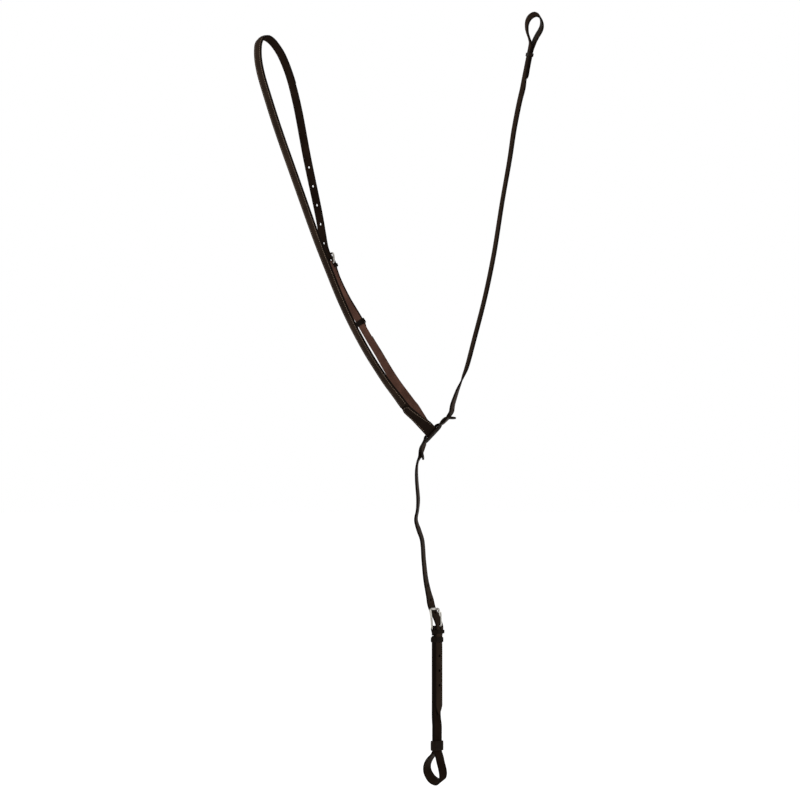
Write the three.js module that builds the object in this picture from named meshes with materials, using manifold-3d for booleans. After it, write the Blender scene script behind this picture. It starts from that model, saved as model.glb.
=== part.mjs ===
// A standing martingale, hanging in use position, in millimetres with +Z up.
// The neck loop hangs at the left, the nose loop at the right, and both meet at the chest
// loop, from which the lower strap runs down to the girth buckle and the girth loop.
// The origin is the inner surface of the neck loop's top bend.
import * as THREE from "three";
import { mergeVertices } from "three/addons/utils/BufferGeometryUtils.js";
import Module from "manifold-3d";

const wasm = await Module();
wasm.setup();

// Leather: widths and thicknesses of the straps
const NECK_WIDTH = 16;
const NECK_THICKNESS = 2.4;
const MAIN_WIDTH = 19;
const MAIN_THICKNESS = 3;
const CHEST_THICKNESS = 2.4;
const CHEST_WIDTH_AT_LEAF = 16;
const CHEST_WIDTH_AT_LOOP = 21.5;
const CHEST_LEAF_LENGTH = 54;
const CHEST_TILT_DEGREES = 8;
const EDGE_BEVEL = 0.8;
const GAP = 0.3;

// Raised facing of the neck strap, over its filler
const FACING_HALF = 7.8;
const FACING_EDGE = 0.9;
const FACING_CROWN = 3;
const GROOVE_HALF = 4.8;
const GROOVE_HEIGHT = 1.8;
const FILLER_HALF = 4;
const FILLER_THICKNESS = 1.2;

// Neck buckle, billet and keepers
const NECK_BAR = 1.6;
const NECK_FRAME_INSIDE = 18;
const NECK_FRAME_LENGTH = 16;
const NECK_FRONT_OUT = 5.4;
const NECK_HEEL_HEIGHT = -380.5;
const NECK_HOLE_RADIUS = 2.2;
const NECK_HOLE_PITCH = 33;
const NECK_HOLES_ABOVE = 5;
const NECK_TURN_BACK = 42;
const NECK_BILLET_TIP_HEIGHT = -497;
const NECK_RUNNER_HEIGHT = -481;
const NEAR_FACING_END_HEIGHT = -75;

// Martingale strap, girth buckle and keepers
const LAP_LENGTH = 58;
const GIRTH_BAR = 1.9;
const GIRTH_FRAME_INSIDE = 21;
const GIRTH_FRAME_LENGTH = 33;
const GIRTH_FRONT_OUT = -4.05;
const GIRTH_HEEL_HEIGHT = -1002.2;
const GIRTH_HOLE_RADIUS = 2.5;
const GIRTH_HOLE_PITCH = 25;
const GIRTH_HOLES_BELOW = 4;
const GIRTH_HOLES_ABOVE = 3;
const BILLET_TIP_HEIGHT = -1149;
const GIRTH_RUNNER_HEIGHT = -1021;
const THROAT_KEEPER_HEIGHT = -1201.3;
const GIRTH_YAW = 36.5;
const GIRTH_STACK_X = 290;
const THROAT_YAW = 42;
const THROAT_SHIFT = 1.2;

// Stop: a flat rubber strip with two slots at each end, which the strap weaves through
const STOP_WIDTH = 30;
const STOP_THICKNESS = 2.4;
const SLOT_CLEARANCE = 0.4;

// How finely a bend or a twist is divided
const MOST_SAG = 0.12;
const MOST_BEND = 16;
const MOST_TWIST = 5;
const LONGEST_STEP = 34;

const vec = (x, y, z) => new THREE.Vector3(x, y, z);
const radians = THREE.MathUtils.degToRad;

// A width direction that lies along the line of sight, turned by an angle about Z and leaning
function turned(degrees, lean = 0) {
  const angle = radians(degrees);
  return vec(-Math.sin(angle), Math.cos(angle), lean);
}

function station(at, across) {
  return { at, across: across.clone().normalize() };
}

// Rows of x, y, z and the turn and lean of the width direction
function stations(rows) {
  return rows.map(([x, y, z, turn, lean]) => station(vec(x, y, z), turned(turn, lean)));
}

// The line that a strap follows: a smooth curve and a width direction along it.
// A frame on it has along, across and out, and out is the side away from the loop's hole.
class StrapLine {
  constructor(list) {
    this.centre = new THREE.CatmullRomCurve3(list.map((s) => s.at), false, "centripetal");
    this.width = new THREE.CatmullRomCurve3(list.map((s) => s.across), false, "catmullrom", 0.5);
    this.table = [{ t: 0, s: 0 }];
    const steps = (list.length - 1) * 24;
    let last = this.centre.getPoint(0);
    for (let i = 1; i <= steps; i++) {
      const next = this.centre.getPoint(i / steps);
      this.table.push({ t: i / steps, s: this.table[i - 1].s + next.distanceTo(last) });
      last = next;
    }
    this.length = this.table[steps].s;
    this.knots = list.map((_, i) => this.table[i * 24].s);
    this.marks = this.findMarks();
  }

  parameterAt(s) {
    const upper = this.table.findIndex((row) => row.s >= s);
    if (upper === -1) return 1;
    if (upper === 0) return 0;
    const a = this.table[upper - 1];
    const b = this.table[upper];
    return a.t + ((b.t - a.t) * (s - a.s)) / (b.s - a.s);
  }

  frameAt(s) {
    const t = this.parameterAt(s);
    const at = this.centre.getPoint(t);
    const along = this.centre.getTangent(t);
    const across = this.width.getPoint(t);
    across.addScaledVector(along, -across.dot(along)).normalize();
    return { at, along, across, out: along.clone().cross(across) };
  }

  // Places along the line where a bend or a twist asks for a new cross-section
  findMarks() {
    const marks = [0];
    let kept = this.frameAt(0);
    let from = 0;
    for (let s = 0.5; s < this.length; s += 0.5) {
      const here = this.frameAt(s);
      const bend = here.along.angleTo(kept.along);
      const twist = here.across.angleTo(kept.across);
      const step = s - from;
      const sharp = (bend * step) / 8 > MOST_SAG || bend > radians(MOST_BEND);
      if (sharp || twist > radians(MOST_TWIST) || step > LONGEST_STEP) {
        marks.push(s);
        kept = here;
        from = s;
      }
    }
    marks.push(this.length);
    return marks;
  }

  // Cross-sections that every layer on this line has to share
  share(places) {
    this.marks = this.marks.filter((s) => places.every((p) => Math.abs(p - s) > 1.5));
    this.marks.push(...places);
    this.marks.sort((a, b) => a - b);
  }

  marksBetween(from, to, extra = []) {
    const near = (s) => [from, to, ...extra].some((p) => Math.abs(p - s) < 0.25);
    const inside = this.marks.filter((s) => s > from && s < to && !near(s));
    const added = extra.filter((s) => s > from + 0.25 && s < to - 0.25);
    return [from, ...inside, ...added, to].sort((a, b) => a - b);
  }

  // The place, after a given start, where the line comes down through a height
  whereHeight(z, after = 0) {
    for (let s = after; s < this.length; s += 0.25) {
      if (this.frameAt(s).at.z <= z) return s;
    }
    return this.length;
  }

  pointAt(s, out) {
    const frame = this.frameAt(s);
    return frame.at.addScaledVector(frame.out, out);
  }

  stationAt(s, out) {
    return station(this.pointAt(s, out), this.frameAt(s).across);
  }
}

// A skin through a row of rings that all have the same number of points. A twisted face is
// split along its deeper diagonal, so that layers that twist together stay clear.
function loft(rings, closed = false) {
  const count = rings[0].length;
  const points = rings.flat();
  const positions = points.flatMap((p) => [p.x, p.y, p.z]);
  const index = [];
  const spans = closed ? rings.length : rings.length - 1;
  for (let i = 0; i < spans; i++) {
    const a = i * count;
    const b = ((i + 1) % rings.length) * count;
    for (let j = 0; j < count; j++) {
      const k = (j + 1) % count;
      const one = points[b + k].clone().sub(points[a + j]);
      const other = points[b + j].clone().sub(points[a + k]);
      const outward = one.clone().cross(other);
      const rise = points[a + j].clone().add(points[b + k]);
      rise.sub(points[a + k]).sub(points[b + j]);
      if (rise.dot(outward) <= 0) index.push(a + j, a + k, b + k, a + j, b + k, b + j);
      else index.push(a + j, a + k, b + j, a + k, b + k, b + j);
    }
  }
  const geometry = new THREE.BufferGeometry();
  geometry.setAttribute("position", new THREE.Float32BufferAttribute(positions, 3));
  geometry.setIndex(index);
  return geometry;
}

// The triangles that close both ends of a loft, from its cross-section's outline
function withEnds(geometry, outline, rings) {
  const faces = THREE.ShapeUtils.triangulateShape(
    outline.map(([w, n]) => new THREE.Vector2(w, n)),
    [],
  );
  const last = (rings - 1) * outline.length;
  const index = Array.from(geometry.index.array);
  for (const [a, b, c] of faces) {
    index.push(a, c, b, last + a, last + b, last + c);
  }
  geometry.setIndex(index);
  return geometry;
}

// A solid through a row of frames, each with its own cross-section of points (across, out)
function strip(frames, sections) {
  const rings = frames.map(({ at, across, out }, i) =>
    sections[i].map(([w, n]) => at.clone().addScaledVector(across, w).addScaledVector(out, n)),
  );
  return withEnds(loft(rings), sections[0], rings.length);
}

// A solid that runs along a strap line
function along(line, { from = 0, to = line.length, extra = [], section }) {
  const places = line.marksBetween(from, to, extra);
  return strip(places.map((s) => line.frameAt(s)), places.map(section));
}

// Distances from each frame's place to the first one's
function distances(frames) {
  let sum = 0;
  return frames.map(({ at }, i) => {
    if (i > 0) sum += at.distanceTo(frames[i - 1].at);
    return sum;
  });
}

// A flat strap's cross-section, with bevelled edges, at a height above its line
function flatSection(half, thickness, out = 0) {
  const bevel = Math.min(EDGE_BEVEL, half * 0.4);
  const top = thickness / 2;
  return [
    [-half, out - top + bevel],
    [-half + bevel, out - top],
    [half - bevel, out - top],
    [half, out - top + bevel],
    [half, out + top - bevel],
    [half - bevel, out + top],
    [-half + bevel, out + top],
    [-half, out + top - bevel],
  ];
}

// Half width near an end: a half round, or an English point
const TIP_STEPS = [0.5, 1.6, 3.4, 6, 9, 13];
function roundEnd(half, fromEnd, radius = half) {
  if (fromEnd >= radius) return half;
  const rise = 1 - fromEnd / radius;
  return Math.max(1.4, half * Math.sqrt(1 - rise * rise));
}
function pointEnd(half, fromEnd) {
  const length = half * 1.7;
  if (fromEnd >= length) return half;
  return Math.max(1.4, half * Math.pow(fromEnd / length, 0.62));
}

// Solids by cutting and joining
function solid(geometry) {
  const plain = geometry.clone();
  plain.deleteAttribute("normal");
  plain.deleteAttribute("uv");
  const merged = mergeVertices(plain, 1e-4);
  return new wasm.Manifold(
    new wasm.Mesh({
      numProp: 3,
      vertProperties: merged.attributes.position.array,
      triVerts: new Uint32Array(merged.index.array),
    }),
  );
}

function geometryOf(manifold) {
  const mesh = manifold.getMesh();
  const geometry = new THREE.BufferGeometry();
  geometry.setAttribute("position", new THREE.BufferAttribute(mesh.vertProperties, 3));
  geometry.setIndex(new THREE.BufferAttribute(mesh.triVerts, 1));
  return geometry;
}

function cut(geometry, tools) {
  return geometryOf(tools.reduce((body, tool) => body.subtract(solid(tool)), solid(geometry)));
}

// Places a geometry made in (across, out, along) coordinates on a frame of a line
function placement(frame) {
  return new THREE.Matrix4()
    .makeBasis(frame.across, frame.out, frame.along)
    .setPosition(frame.at);
}

function punch(frame, radius, depth, stretch = 1) {
  const hole = new THREE.CylinderGeometry(radius, radius, depth, 12);
  hole.scale(1, 1, stretch);
  return hole.applyMatrix4(placement(frame));
}

// Materials
function leather(colour) {
  return new THREE.MeshStandardMaterial({ color: colour, roughness: 0.55, metalness: 0 });
}
const darkLeather = () => leather(0x2a1d17);
const linedLeather = () => leather(0x4a3026);
const patchLeather = () => leather(0x33241c);
const steel = () =>
  new THREE.MeshStandardMaterial({ color: 0xcfc8ba, roughness: 0.28, metalness: 1 });
const rubber = () =>
  new THREE.MeshStandardMaterial({ color: 0x5a4a3c, roughness: 0.7, metalness: 0 });

function part(name, geometry, material, frame) {
  geometry.computeVertexNormals();
  const mesh = new THREE.Mesh(geometry, material);
  mesh.name = name;
  if (frame) placement(frame).decompose(mesh.position, mesh.quaternion, mesh.scale);
  return mesh;
}

// Neck ring: up the near leg from the chest, over the hook, and down the far leg
const neckRing = new StrapLine(
  stations([
    [273.8, -8.8, -661.4, 90],
    [266.2, -8.8, -654.2, 88],
    [253.1, -9.8, -642, 80],
    [239.6, -11.5, -629.5, 71],
    [222.5, -15.5, -606.9, 59],
    [204.5, -19, -583.1, 51],
    [188.8, -22, -559.3, 48],
    [173.9, -24, -535.5, 47],
    [147.9, -25.5, -487.9, 45],
    [125.9, -26, -440.3, 46],
    [106.7, -26, -392.7, 47],
    [88.1, -25.5, -345.1, 48],
    [54.1, -23.5, -249.9, 50],
    [20.6, -21, -154.7, 51],
    [5.3, -18.5, -107.1, 50],
    [-8.8, -15.5, -59.5, 49],
    [-13.2, -13, -35.7, 48],
    [-13.9, -11, -18.7, 48, -0.06],
    [-12.5, -8.5, -7.6, 48, -0.15],
    [-7.6, -5, -0.2, 48, -0.3],
    [0, 0, 1.45, 49, -0.36],
    [7.6, 4.5, -2.9, 51, -0.3],
    [15, 9, -11.2, 53, -0.15],
    [24.6, 14, -26.3, 54, -0.06],
    [38, 19, -59.5, 52],
    [50.7, 21.5, -107.1, 56],
    [68.8, 24, -202.3, 57],
    [88.6, 26, -297.5, 53],
    [94.5, 26.5, -331, 50],
    [99.3, 26.5, -355, 45],
    [104.1, 26.5, -368.3, 45],
    [108.9, 26.5, -381.6, 45],
    [113.7, 26.5, -395, 45],
    [118.5, 26.5, -408.3, 44],
    [134.1, 26, -440.3, 43],
    [148.2, 25.7, -464.1, 44],
    [162.3, 25.4, -487.9, 46],
    [176.1, 25, -511.7, 48],
    [190.6, 24, -535.5, 50],
    [204.4, 22, -559.3, 53],
    [219.2, 19, -583.1, 60],
    [236.3, 15.5, -606.9, 71],
    [253.8, 11.5, -629.9, 82],
    [261, 9.8, -642, 87],
    [267.6, 8.8, -654.2, 90],
    [274.7, 8.8, -661, 90],
  ]),
);
const overTop = neckRing.length * 0.5;
const neckHeel = neckRing.whereHeight(NECK_HEEL_HEIGHT, overTop);
const neckBilletTip = neckRing.whereHeight(NECK_BILLET_TIP_HEIGHT, neckHeel);

// A buckle's pivot is the centre of its heel bar, between the strap and its turned-back end
function heelFrame(line, s, thickness) {
  const frame = line.frameAt(s);
  frame.at.addScaledVector(frame.out, -(thickness + GAP) / 2);
  return frame;
}

// The stretch of a strap that wraps a heel bar, from its outer side round to its inner side
function foldStations(heel, radius) {
  const list = [];
  for (let degrees = -10; degrees <= 190; degrees += 25) {
    const angle = radians(degrees);
    const at = heel.at
      .clone()
      .addScaledVector(heel.out, radius * Math.cos(angle))
      .addScaledVector(heel.along, -radius * Math.sin(angle));
    list.push(station(at, heel.across));
  }
  return list;
}

// How far the neck billet stands out from the ring: it climbs over the fold of the buckle
const NECK_FOLD = NECK_BAR + 0.25 + NECK_THICKNESS / 2;
const NECK_OVER_FOLD = NECK_FOLD - (NECK_THICKNESS + GAP) / 2 + NECK_THICKNESS + GAP + 0.1;
const NECK_LYING = NECK_THICKNESS + GAP;
const smooth = THREE.MathUtils.smoothstep;
function neckBilletOut(s) {
  const climb = smooth(s, neckHeel - 18, neckHeel - 1) * NECK_OVER_FOLD;
  return climb - smooth(s, neckHeel + 3, neckHeel + 13) * (NECK_OVER_FOLD - NECK_LYING);
}

// A tongue's hole is stretched by the tongue, so that the tongue can lift in it
const HOLE_FROM_HEEL = 3.6;
const USED_HOLE_STRETCH = 2.1;

function neckStrap() {
  const half = NECK_WIDTH / 2;
  const climb = [-18, -14.5, -11, -7.5, -4, -1, 3, 5.5, 8, 10.5, 13].map((d) => neckHeel + d);
  const body = along(neckRing, {
    to: neckBilletTip,
    extra: [...climb, ...TIP_STEPS.map((d) => neckBilletTip - d)],
    section: (s) =>
      flatSection(pointEnd(half, neckBilletTip - s), NECK_THICKNESS, neckBilletOut(s)),
  });
  const holes = [];
  for (let i = 1; i <= NECK_HOLES_ABOVE; i++) {
    const s = neckHeel - HOLE_FROM_HEEL - i * NECK_HOLE_PITCH;
    holes.push(punch(neckRing.frameAt(s), NECK_HOLE_RADIUS, 12));
  }
  const spare = neckHeel - HOLE_FROM_HEEL + NECK_HOLE_PITCH;
  const spareFrame = neckRing.frameAt(spare);
  spareFrame.at.addScaledVector(spareFrame.out, NECK_LYING);
  holes.push(punch(spareFrame, NECK_HOLE_RADIUS, NECK_THICKNESS + 0.3));
  const used = neckRing.frameAt(neckHeel - HOLE_FROM_HEEL);
  used.at.addScaledVector(used.out, NECK_OVER_FOLD);
  holes.push(punch(used, NECK_HOLE_RADIUS, 9, USED_HOLE_STRETCH));
  return part("neck_strap", cut(body, holes), darkLeather());
}

// The raised facing is a shell with a sewing margin at each edge, bent over its filler
function facingSection() {
  const base = NECK_THICKNESS / 2 + GAP;
  return [
    [-FACING_HALF, base],
    [-GROOVE_HALF, base],
    [-GROOVE_HALF + 1.5, base + GROOVE_HEIGHT],
    [GROOVE_HALF - 1.5, base + GROOVE_HEIGHT],
    [GROOVE_HALF, base],
    [FACING_HALF, base],
    [FACING_HALF, base + FACING_EDGE],
    [GROOVE_HALF + 0.4, base + 1.7],
    [2.2, base + FACING_CROWN],
    [-2.2, base + FACING_CROWN],
    [-GROOVE_HALF - 0.4, base + 1.7],
    [-FACING_HALF, base + FACING_EDGE],
  ];
}

function fillerSection() {
  const base = NECK_THICKNESS / 2 + GAP;
  const top = base + FILLER_THICKNESS + 0.25;
  return [
    [-FILLER_HALF, base + 0.25],
    [FILLER_HALF, base + 0.25],
    [FILLER_HALF - 1, top],
    [1 - FILLER_HALF, top],
  ];
}

const leafEnd = CHEST_LEAF_LENGTH;
const nearFacing = {
  from: leafEnd + 1.5,
  to: neckRing.whereHeight(NEAR_FACING_END_HEIGHT, overTop),
};
const farFacing = {
  from: neckBilletTip + 12,
  to: neckRing.length - leafEnd - 1.5,
};
const FILLER_INSET = 5;
for (const { from, to } of [nearFacing, farFacing]) {
  neckRing.share([from, from + FILLER_INSET, to - FILLER_INSET, to]);
}
neckRing.share(TIP_STEPS.map((d) => leafEnd - d));
neckRing.share(TIP_STEPS.map((d) => neckRing.length - leafEnd + d));

function raisedPair(side, { from, to }) {
  const shell = along(neckRing, { from, to, section: facingSection });
  const core = along(neckRing, {
    from: from + FILLER_INSET,
    to: to - FILLER_INSET,
    section: fillerSection,
  });
  return [
    part(`neck_facing_${side}`, shell, darkLeather()),
    part(`neck_filler_${side}`, core, linedLeather()),
  ];
}

// The short neck strap comes up the far leg, wraps the buckle's heel bar and turns back
const neckHeelFrame = heelFrame(neckRing, neckHeel, NECK_THICKNESS);

const FOLD_RUN = 12;

function neckBuckleStrap() {
  const turnedOver = ({ at, across, out, along: on }, back) => ({
    at: at.clone().addScaledVector(out, back ? -(NECK_THICKNESS + GAP) : 0),
    across: across.clone().negate(),
    out: back ? out.clone().negate() : out.clone(),
    along: back ? on.clone() : on.clone().negate(),
  });
  const end = neckRing.length;
  const legFrames = neckRing
    .marksBetween(neckHeel + FOLD_RUN, end)
    .reverse()
    .map((s) => turnedOver(neckRing.frameAt(s), false));
  const turn = (d, out) => station(neckRing.pointAt(neckHeel + d, out), neckHeelFrame.across);
  const inner = -(NECK_THICKNESS + GAP);
  const foldLine = new StrapLine([
    turn(FOLD_RUN, 0),
    turn(9.5, 0.02),
    turn(7, 0.3),
    ...foldStations(neckHeelFrame, NECK_FOLD),
    turn(7, inner - 0.3),
    turn(9.5, inner - 0.02),
    turn(FOLD_RUN, inner),
  ]);
  const foldFrames = foldLine
    .marksBetween(0, foldLine.length)
    .slice(1, -1)
    .map((s) => {
      const frame = foldLine.frameAt(s);
      return { ...frame, across: frame.across.negate(), out: frame.out.negate() };
    });
  const backEnd = neckHeel + NECK_TURN_BACK;
  const backFrames = neckRing
    .marksBetween(neckHeel + FOLD_RUN, backEnd, TIP_STEPS.map((d) => backEnd - d))
    .map((s) => turnedOver(neckRing.frameAt(s), true));
  const frames = [...legFrames, ...foldFrames, ...backFrames];
  const run = distances(frames);
  const half = NECK_WIDTH / 2;
  const sections = run.map((d) =>
    flatSection(roundEnd(half, run.at(-1) - d), NECK_THICKNESS),
  );
  const slot = new THREE.BoxGeometry(5, 24, 14).translate(0, 0, -1.6);
  return part(
    "neck_buckle_strap",
    cut(strip(frames, sections), [slot.applyMatrix4(placement(neckHeelFrame))]),
    linedLeather(),
  );
}

// A buckle frame: a round bar bent to a rectangle, swelled at the front and arched outwards.
// Its own origin is the middle of the heel bar, with the front bar at minus its length.
function frameGeometry({ inside, length, bar, frontOut, arch }) {
  const halfWidth = inside / 2 + bar;
  const corner = bar * 1.9;
  const rings = [];
  const corners = [
    [halfWidth - corner, -corner, 0],
    [corner - halfWidth, -corner, 90],
    [corner - halfWidth, corner - length, 180],
    [halfWidth - corner, corner - length, 270],
  ];
  const place = (across, back) => {
    const share = -back / length;
    return vec(across, frontOut * share + arch * Math.sin(Math.PI * share), back);
  };
  const ring = (across, back, direction) => {
    const share = -back / length;
    const radius = bar * (1 + 0.16 * smooth(share, 0.55, 1));
    const outward = vec(Math.cos(direction), 0, Math.sin(direction));
    const points = [];
    for (let i = 0; i < 8; i++) {
      const angle = (i / 8) * 2 * Math.PI;
      const p = place(across, back).addScaledVector(outward, radius * Math.cos(angle));
      p.y += radius * 0.9 * Math.sin(angle);
      points.push(p);
    }
    rings.push(points);
  };
  for (const [across, back, start] of corners) {
    for (let step = 0; step <= 4; step++) {
      const direction = radians(start + step * 22.5);
      ring(across + corner * Math.cos(direction), back + corner * Math.sin(direction), direction);
    }
    if (start === 90 || start === 270) {
      const side = start === 90 ? -halfWidth : halfWidth;
      const stops = start === 90 ? [0.3, 0.5, 0.7] : [0.7, 0.5, 0.3];
      for (const stop of stops) ring(side, -length * stop, start === 90 ? Math.PI : 0);
    }
  }
  return loft(rings, true);
}

// A tongue: a tapering pin whose root curls round the heel bar, and which comes out of the
// strap's hole. Its own origin is the middle of the heel bar, and its tip is given from there.
function tongueGeometry({ bar, wire, hole, over, tip }) {
  const eye = bar + 0.2 + wire;
  const list = [];
  const push = (back, out) => list.push(station(vec(0, out, -back), vec(1, 0, 0)));
  for (let degrees = 150; degrees <= 375; degrees += 25) {
    push(eye * Math.cos(radians(degrees)), eye * Math.sin(radians(degrees)));
  }
  push(hole - 0.4, over - 1.2);
  push(hole + 0.8, over + 1.6);
  push(hole + 4, over + 3.1);
  push((hole + 4 + tip.back) / 2, (over + 3.1) * 0.45 + tip.out * 0.55);
  push(tip.back, tip.out);
  const line = new StrapLine(list);
  const section = (s) => {
    const left = (line.length - s) / line.length;
    const radius = wire * (left < 0.03 ? 0.5 : 0.72 + 0.28 * smooth(left, 0, 0.6));
    return [0, 1, 2, 3, 4, 5].map((i) => {
      const angle = (i / 6) * 2 * Math.PI;
      return [radius * 1.15 * Math.cos(angle), radius * 0.95 * Math.sin(angle)];
    });
  };
  return along(line, { extra: [line.length - 1], section });
}

function buckle(prefix, heel, { thickness, bar, inside, length, frontOut, fold, arch, tip }) {
  const wire = bar * 0.72;
  const frame = frameGeometry({ inside, length, bar, frontOut, arch });
  const over = fold + thickness + GAP + 0.1;
  const tongue = tongueGeometry({ bar, wire, hole: HOLE_FROM_HEEL, over, tip });
  return [
    part(`${prefix}_buckle_frame`, frame, steel(), heel),
    part(`${prefix}_buckle_tongue`, tongue, steel(), heel),
  ];
}

// Keepers: a band right round the straps, or a sewn one that is open at the inner side
function roundedOutline(path, left, right, bottom, top, radius) {
  path.moveTo(left + radius, bottom);
  path.lineTo(right - radius, bottom);
  path.absarc(right - radius, bottom + radius, radius, -Math.PI / 2, 0, false);
  path.lineTo(right, top - radius);
  path.absarc(right - radius, top - radius, radius, 0, Math.PI / 2, false);
  path.lineTo(left + radius, top);
  path.absarc(left + radius, top - radius, radius, Math.PI / 2, Math.PI, false);
  path.lineTo(left, bottom + radius);
  path.absarc(left + radius, bottom + radius, radius, Math.PI, Math.PI * 1.5, false);
  return path;
}

function bandGeometry({ half, low, high, thickness, height }) {
  const t = thickness;
  const shape = roundedOutline(new THREE.Shape(), -half - t, half + t, low - t, high + t, 2.2);
  shape.holes.push(roundedOutline(new THREE.Path(), -half, half, low, high, 0.7));
  const band = new THREE.ExtrudeGeometry(shape, {
    depth: height,
    bevelEnabled: false,
    curveSegments: 3,
  });
  return band.translate(0, 0, -height / 2);
}

function openBandGeometry({ half, low, high, thickness, height }) {
  const outer = half + thickness;
  const top = high + thickness;
  const bend = 2.2;
  const shape = new THREE.Shape();
  shape.moveTo(-half, low);
  shape.lineTo(-half, high);
  shape.lineTo(half, high);
  shape.lineTo(half, low);
  shape.lineTo(outer, low);
  shape.lineTo(outer, top - bend);
  shape.absarc(outer - bend, top - bend, bend, 0, Math.PI / 2, false);
  shape.lineTo(bend - outer, top);
  shape.absarc(bend - outer, top - bend, bend, Math.PI / 2, Math.PI, false);
  shape.lineTo(-outer, low);
  const band = new THREE.ExtrudeGeometry(shape, {
    depth: height,
    bevelEnabled: false,
    curveSegments: 3,
  });
  return band.translate(0, 0, -height / 2);
}

function neckKeepers() {
  const half = NECK_WIDTH / 2 + 0.4;
  const inner = -NECK_THICKNESS / 2;
  const sewn = openBandGeometry({
    half,
    low: inner,
    high: NECK_OVER_FOLD + NECK_THICKNESS / 2 + 0.2,
    thickness: 1.3,
    height: 6,
  });
  const runner = bandGeometry({
    half,
    low: inner - 0.35,
    high: NECK_LYING + NECK_THICKNESS / 2 + 0.35,
    thickness: 1.3,
    height: 9,
  });
  const runnerPlace = neckRing.whereHeight(NECK_RUNNER_HEIGHT, neckHeel);
  return [
    part("neck_fixed_keeper", sewn, darkLeather(), neckRing.frameAt(neckHeel + 5.5)),
    part("neck_runner_keeper", runner, darkLeather(), neckRing.frameAt(runnerPlace)),
  ];
}

// Chest: axes of the place where the martingale strap passes through the neck strap's loop.
// Along is down and left with the strap, away is square to it, away from the neck, and side is
// the strap's width direction. The strap tilts here, so that its far edge lies further away.
const chestAlong = vec(-0.682, 0, -0.7314);
const chestTilt = radians(CHEST_TILT_DEGREES);
const chest = {
  at: vec(285.1, 0, -672.5),
  along: chestAlong,
  away: vec(0.7314, 0, -0.682).applyAxisAngle(chestAlong, chestTilt),
  side: vec(0, 1, 0).applyAxisAngle(chestAlong, chestTilt),
};
function chestPoint(alongStrap, away, side = 0) {
  const p = chest.at.clone().addScaledVector(chest.along, alongStrap);
  return p.addScaledVector(chest.away, away).addScaledVector(chest.side, side);
}

// The chest loop: a leaf sewn on each leg of the neck strap, and a square bend between them
const LEAF_OUT = (NECK_THICKNESS + CHEST_THICKNESS) / 2 + GAP;
const CHEST_WALL = 11.8;
const CHEST_FLOOR = -4.7;
const CHEST_CORNER = 3.2;
const LEAF_ROOT = 3;

function chestLoop() {
  // Both legs are followed against their line: down the near leg, and up the far one
  const leaf = (from, to) =>
    neckRing
      .marksBetween(from, to)
      .reverse()
      .map((s) => {
        const { at, across, out } = neckRing.frameAt(s);
        return { at: at.addScaledVector(out, LEAF_OUT), across: across.negate(), out };
      });
  const near = leaf(LEAF_ROOT, leafEnd);
  const far = leaf(neckRing.length - leafEnd, neckRing.length - LEAF_ROOT);
  const bend = [];
  for (const side of [-1, 1]) {
    for (let degrees = 0; degrees <= 90; degrees += 22.5) {
      const angle = radians(side < 0 ? degrees : 90 - degrees);
      const beside = CHEST_WALL - CHEST_CORNER * (1 - Math.cos(angle));
      const away = CHEST_FLOOR - CHEST_CORNER * (1 - Math.sin(angle));
      const out = chest.away.clone().multiplyScalar(Math.sin(angle));
      out.addScaledVector(chest.side, side * Math.cos(angle));
      bend.push({
        at: chestPoint(0, away, side * beside),
        across: chest.along.clone().negate(),
        out,
      });
    }
  }
  const frames = [...near, ...bend, ...far];
  const run = distances(frames);
  const middle = run.at(-1) / 2;
  const sections = run.map((d) => {
    const fromMiddle = Math.abs(d - middle);
    const taper = 1 - smooth(fromMiddle, 16, 56);
    const half = (CHEST_WIDTH_AT_LEAF + (CHEST_WIDTH_AT_LOOP - CHEST_WIDTH_AT_LEAF) * taper) / 2;
    return flatSection(roundEnd(half, middle - fromMiddle), CHEST_THICKNESS);
  });
  return part("chest_loop", strip(frames, sections), patchLeather());
}

// Girth stack: the straight stretch where two layers of girth strap and the billet lie on
// each other. Out is the side of the billet.
const stackAcross = vec(Math.sin(radians(GIRTH_YAW)), Math.cos(radians(GIRTH_YAW)), 0);
const stackDown = vec(0, 0, -1);
const stackOut = stackDown.clone().cross(stackAcross);
const LAYER = MAIN_THICKNESS + GAP;
function stackFrame(z, out = 0) {
  const at = vec(GIRTH_STACK_X, 0, z).addScaledVector(stackOut, out);
  return { at, along: stackDown.clone(), across: stackAcross.clone(), out: stackOut.clone() };
}
function stackStation(z, out) {
  return station(stackFrame(z, out).at, stackAcross);
}
const girthHeel = stackFrame(GIRTH_HEEL_HEIGHT, -LAYER / 2);
const GIRTH_FOLD = GIRTH_BAR + 0.25 + MAIN_THICKNESS / 2;
const GIRTH_OVER_FOLD = GIRTH_FOLD - LAYER / 2 + MAIN_THICKNESS + GAP + 0.1;

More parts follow.
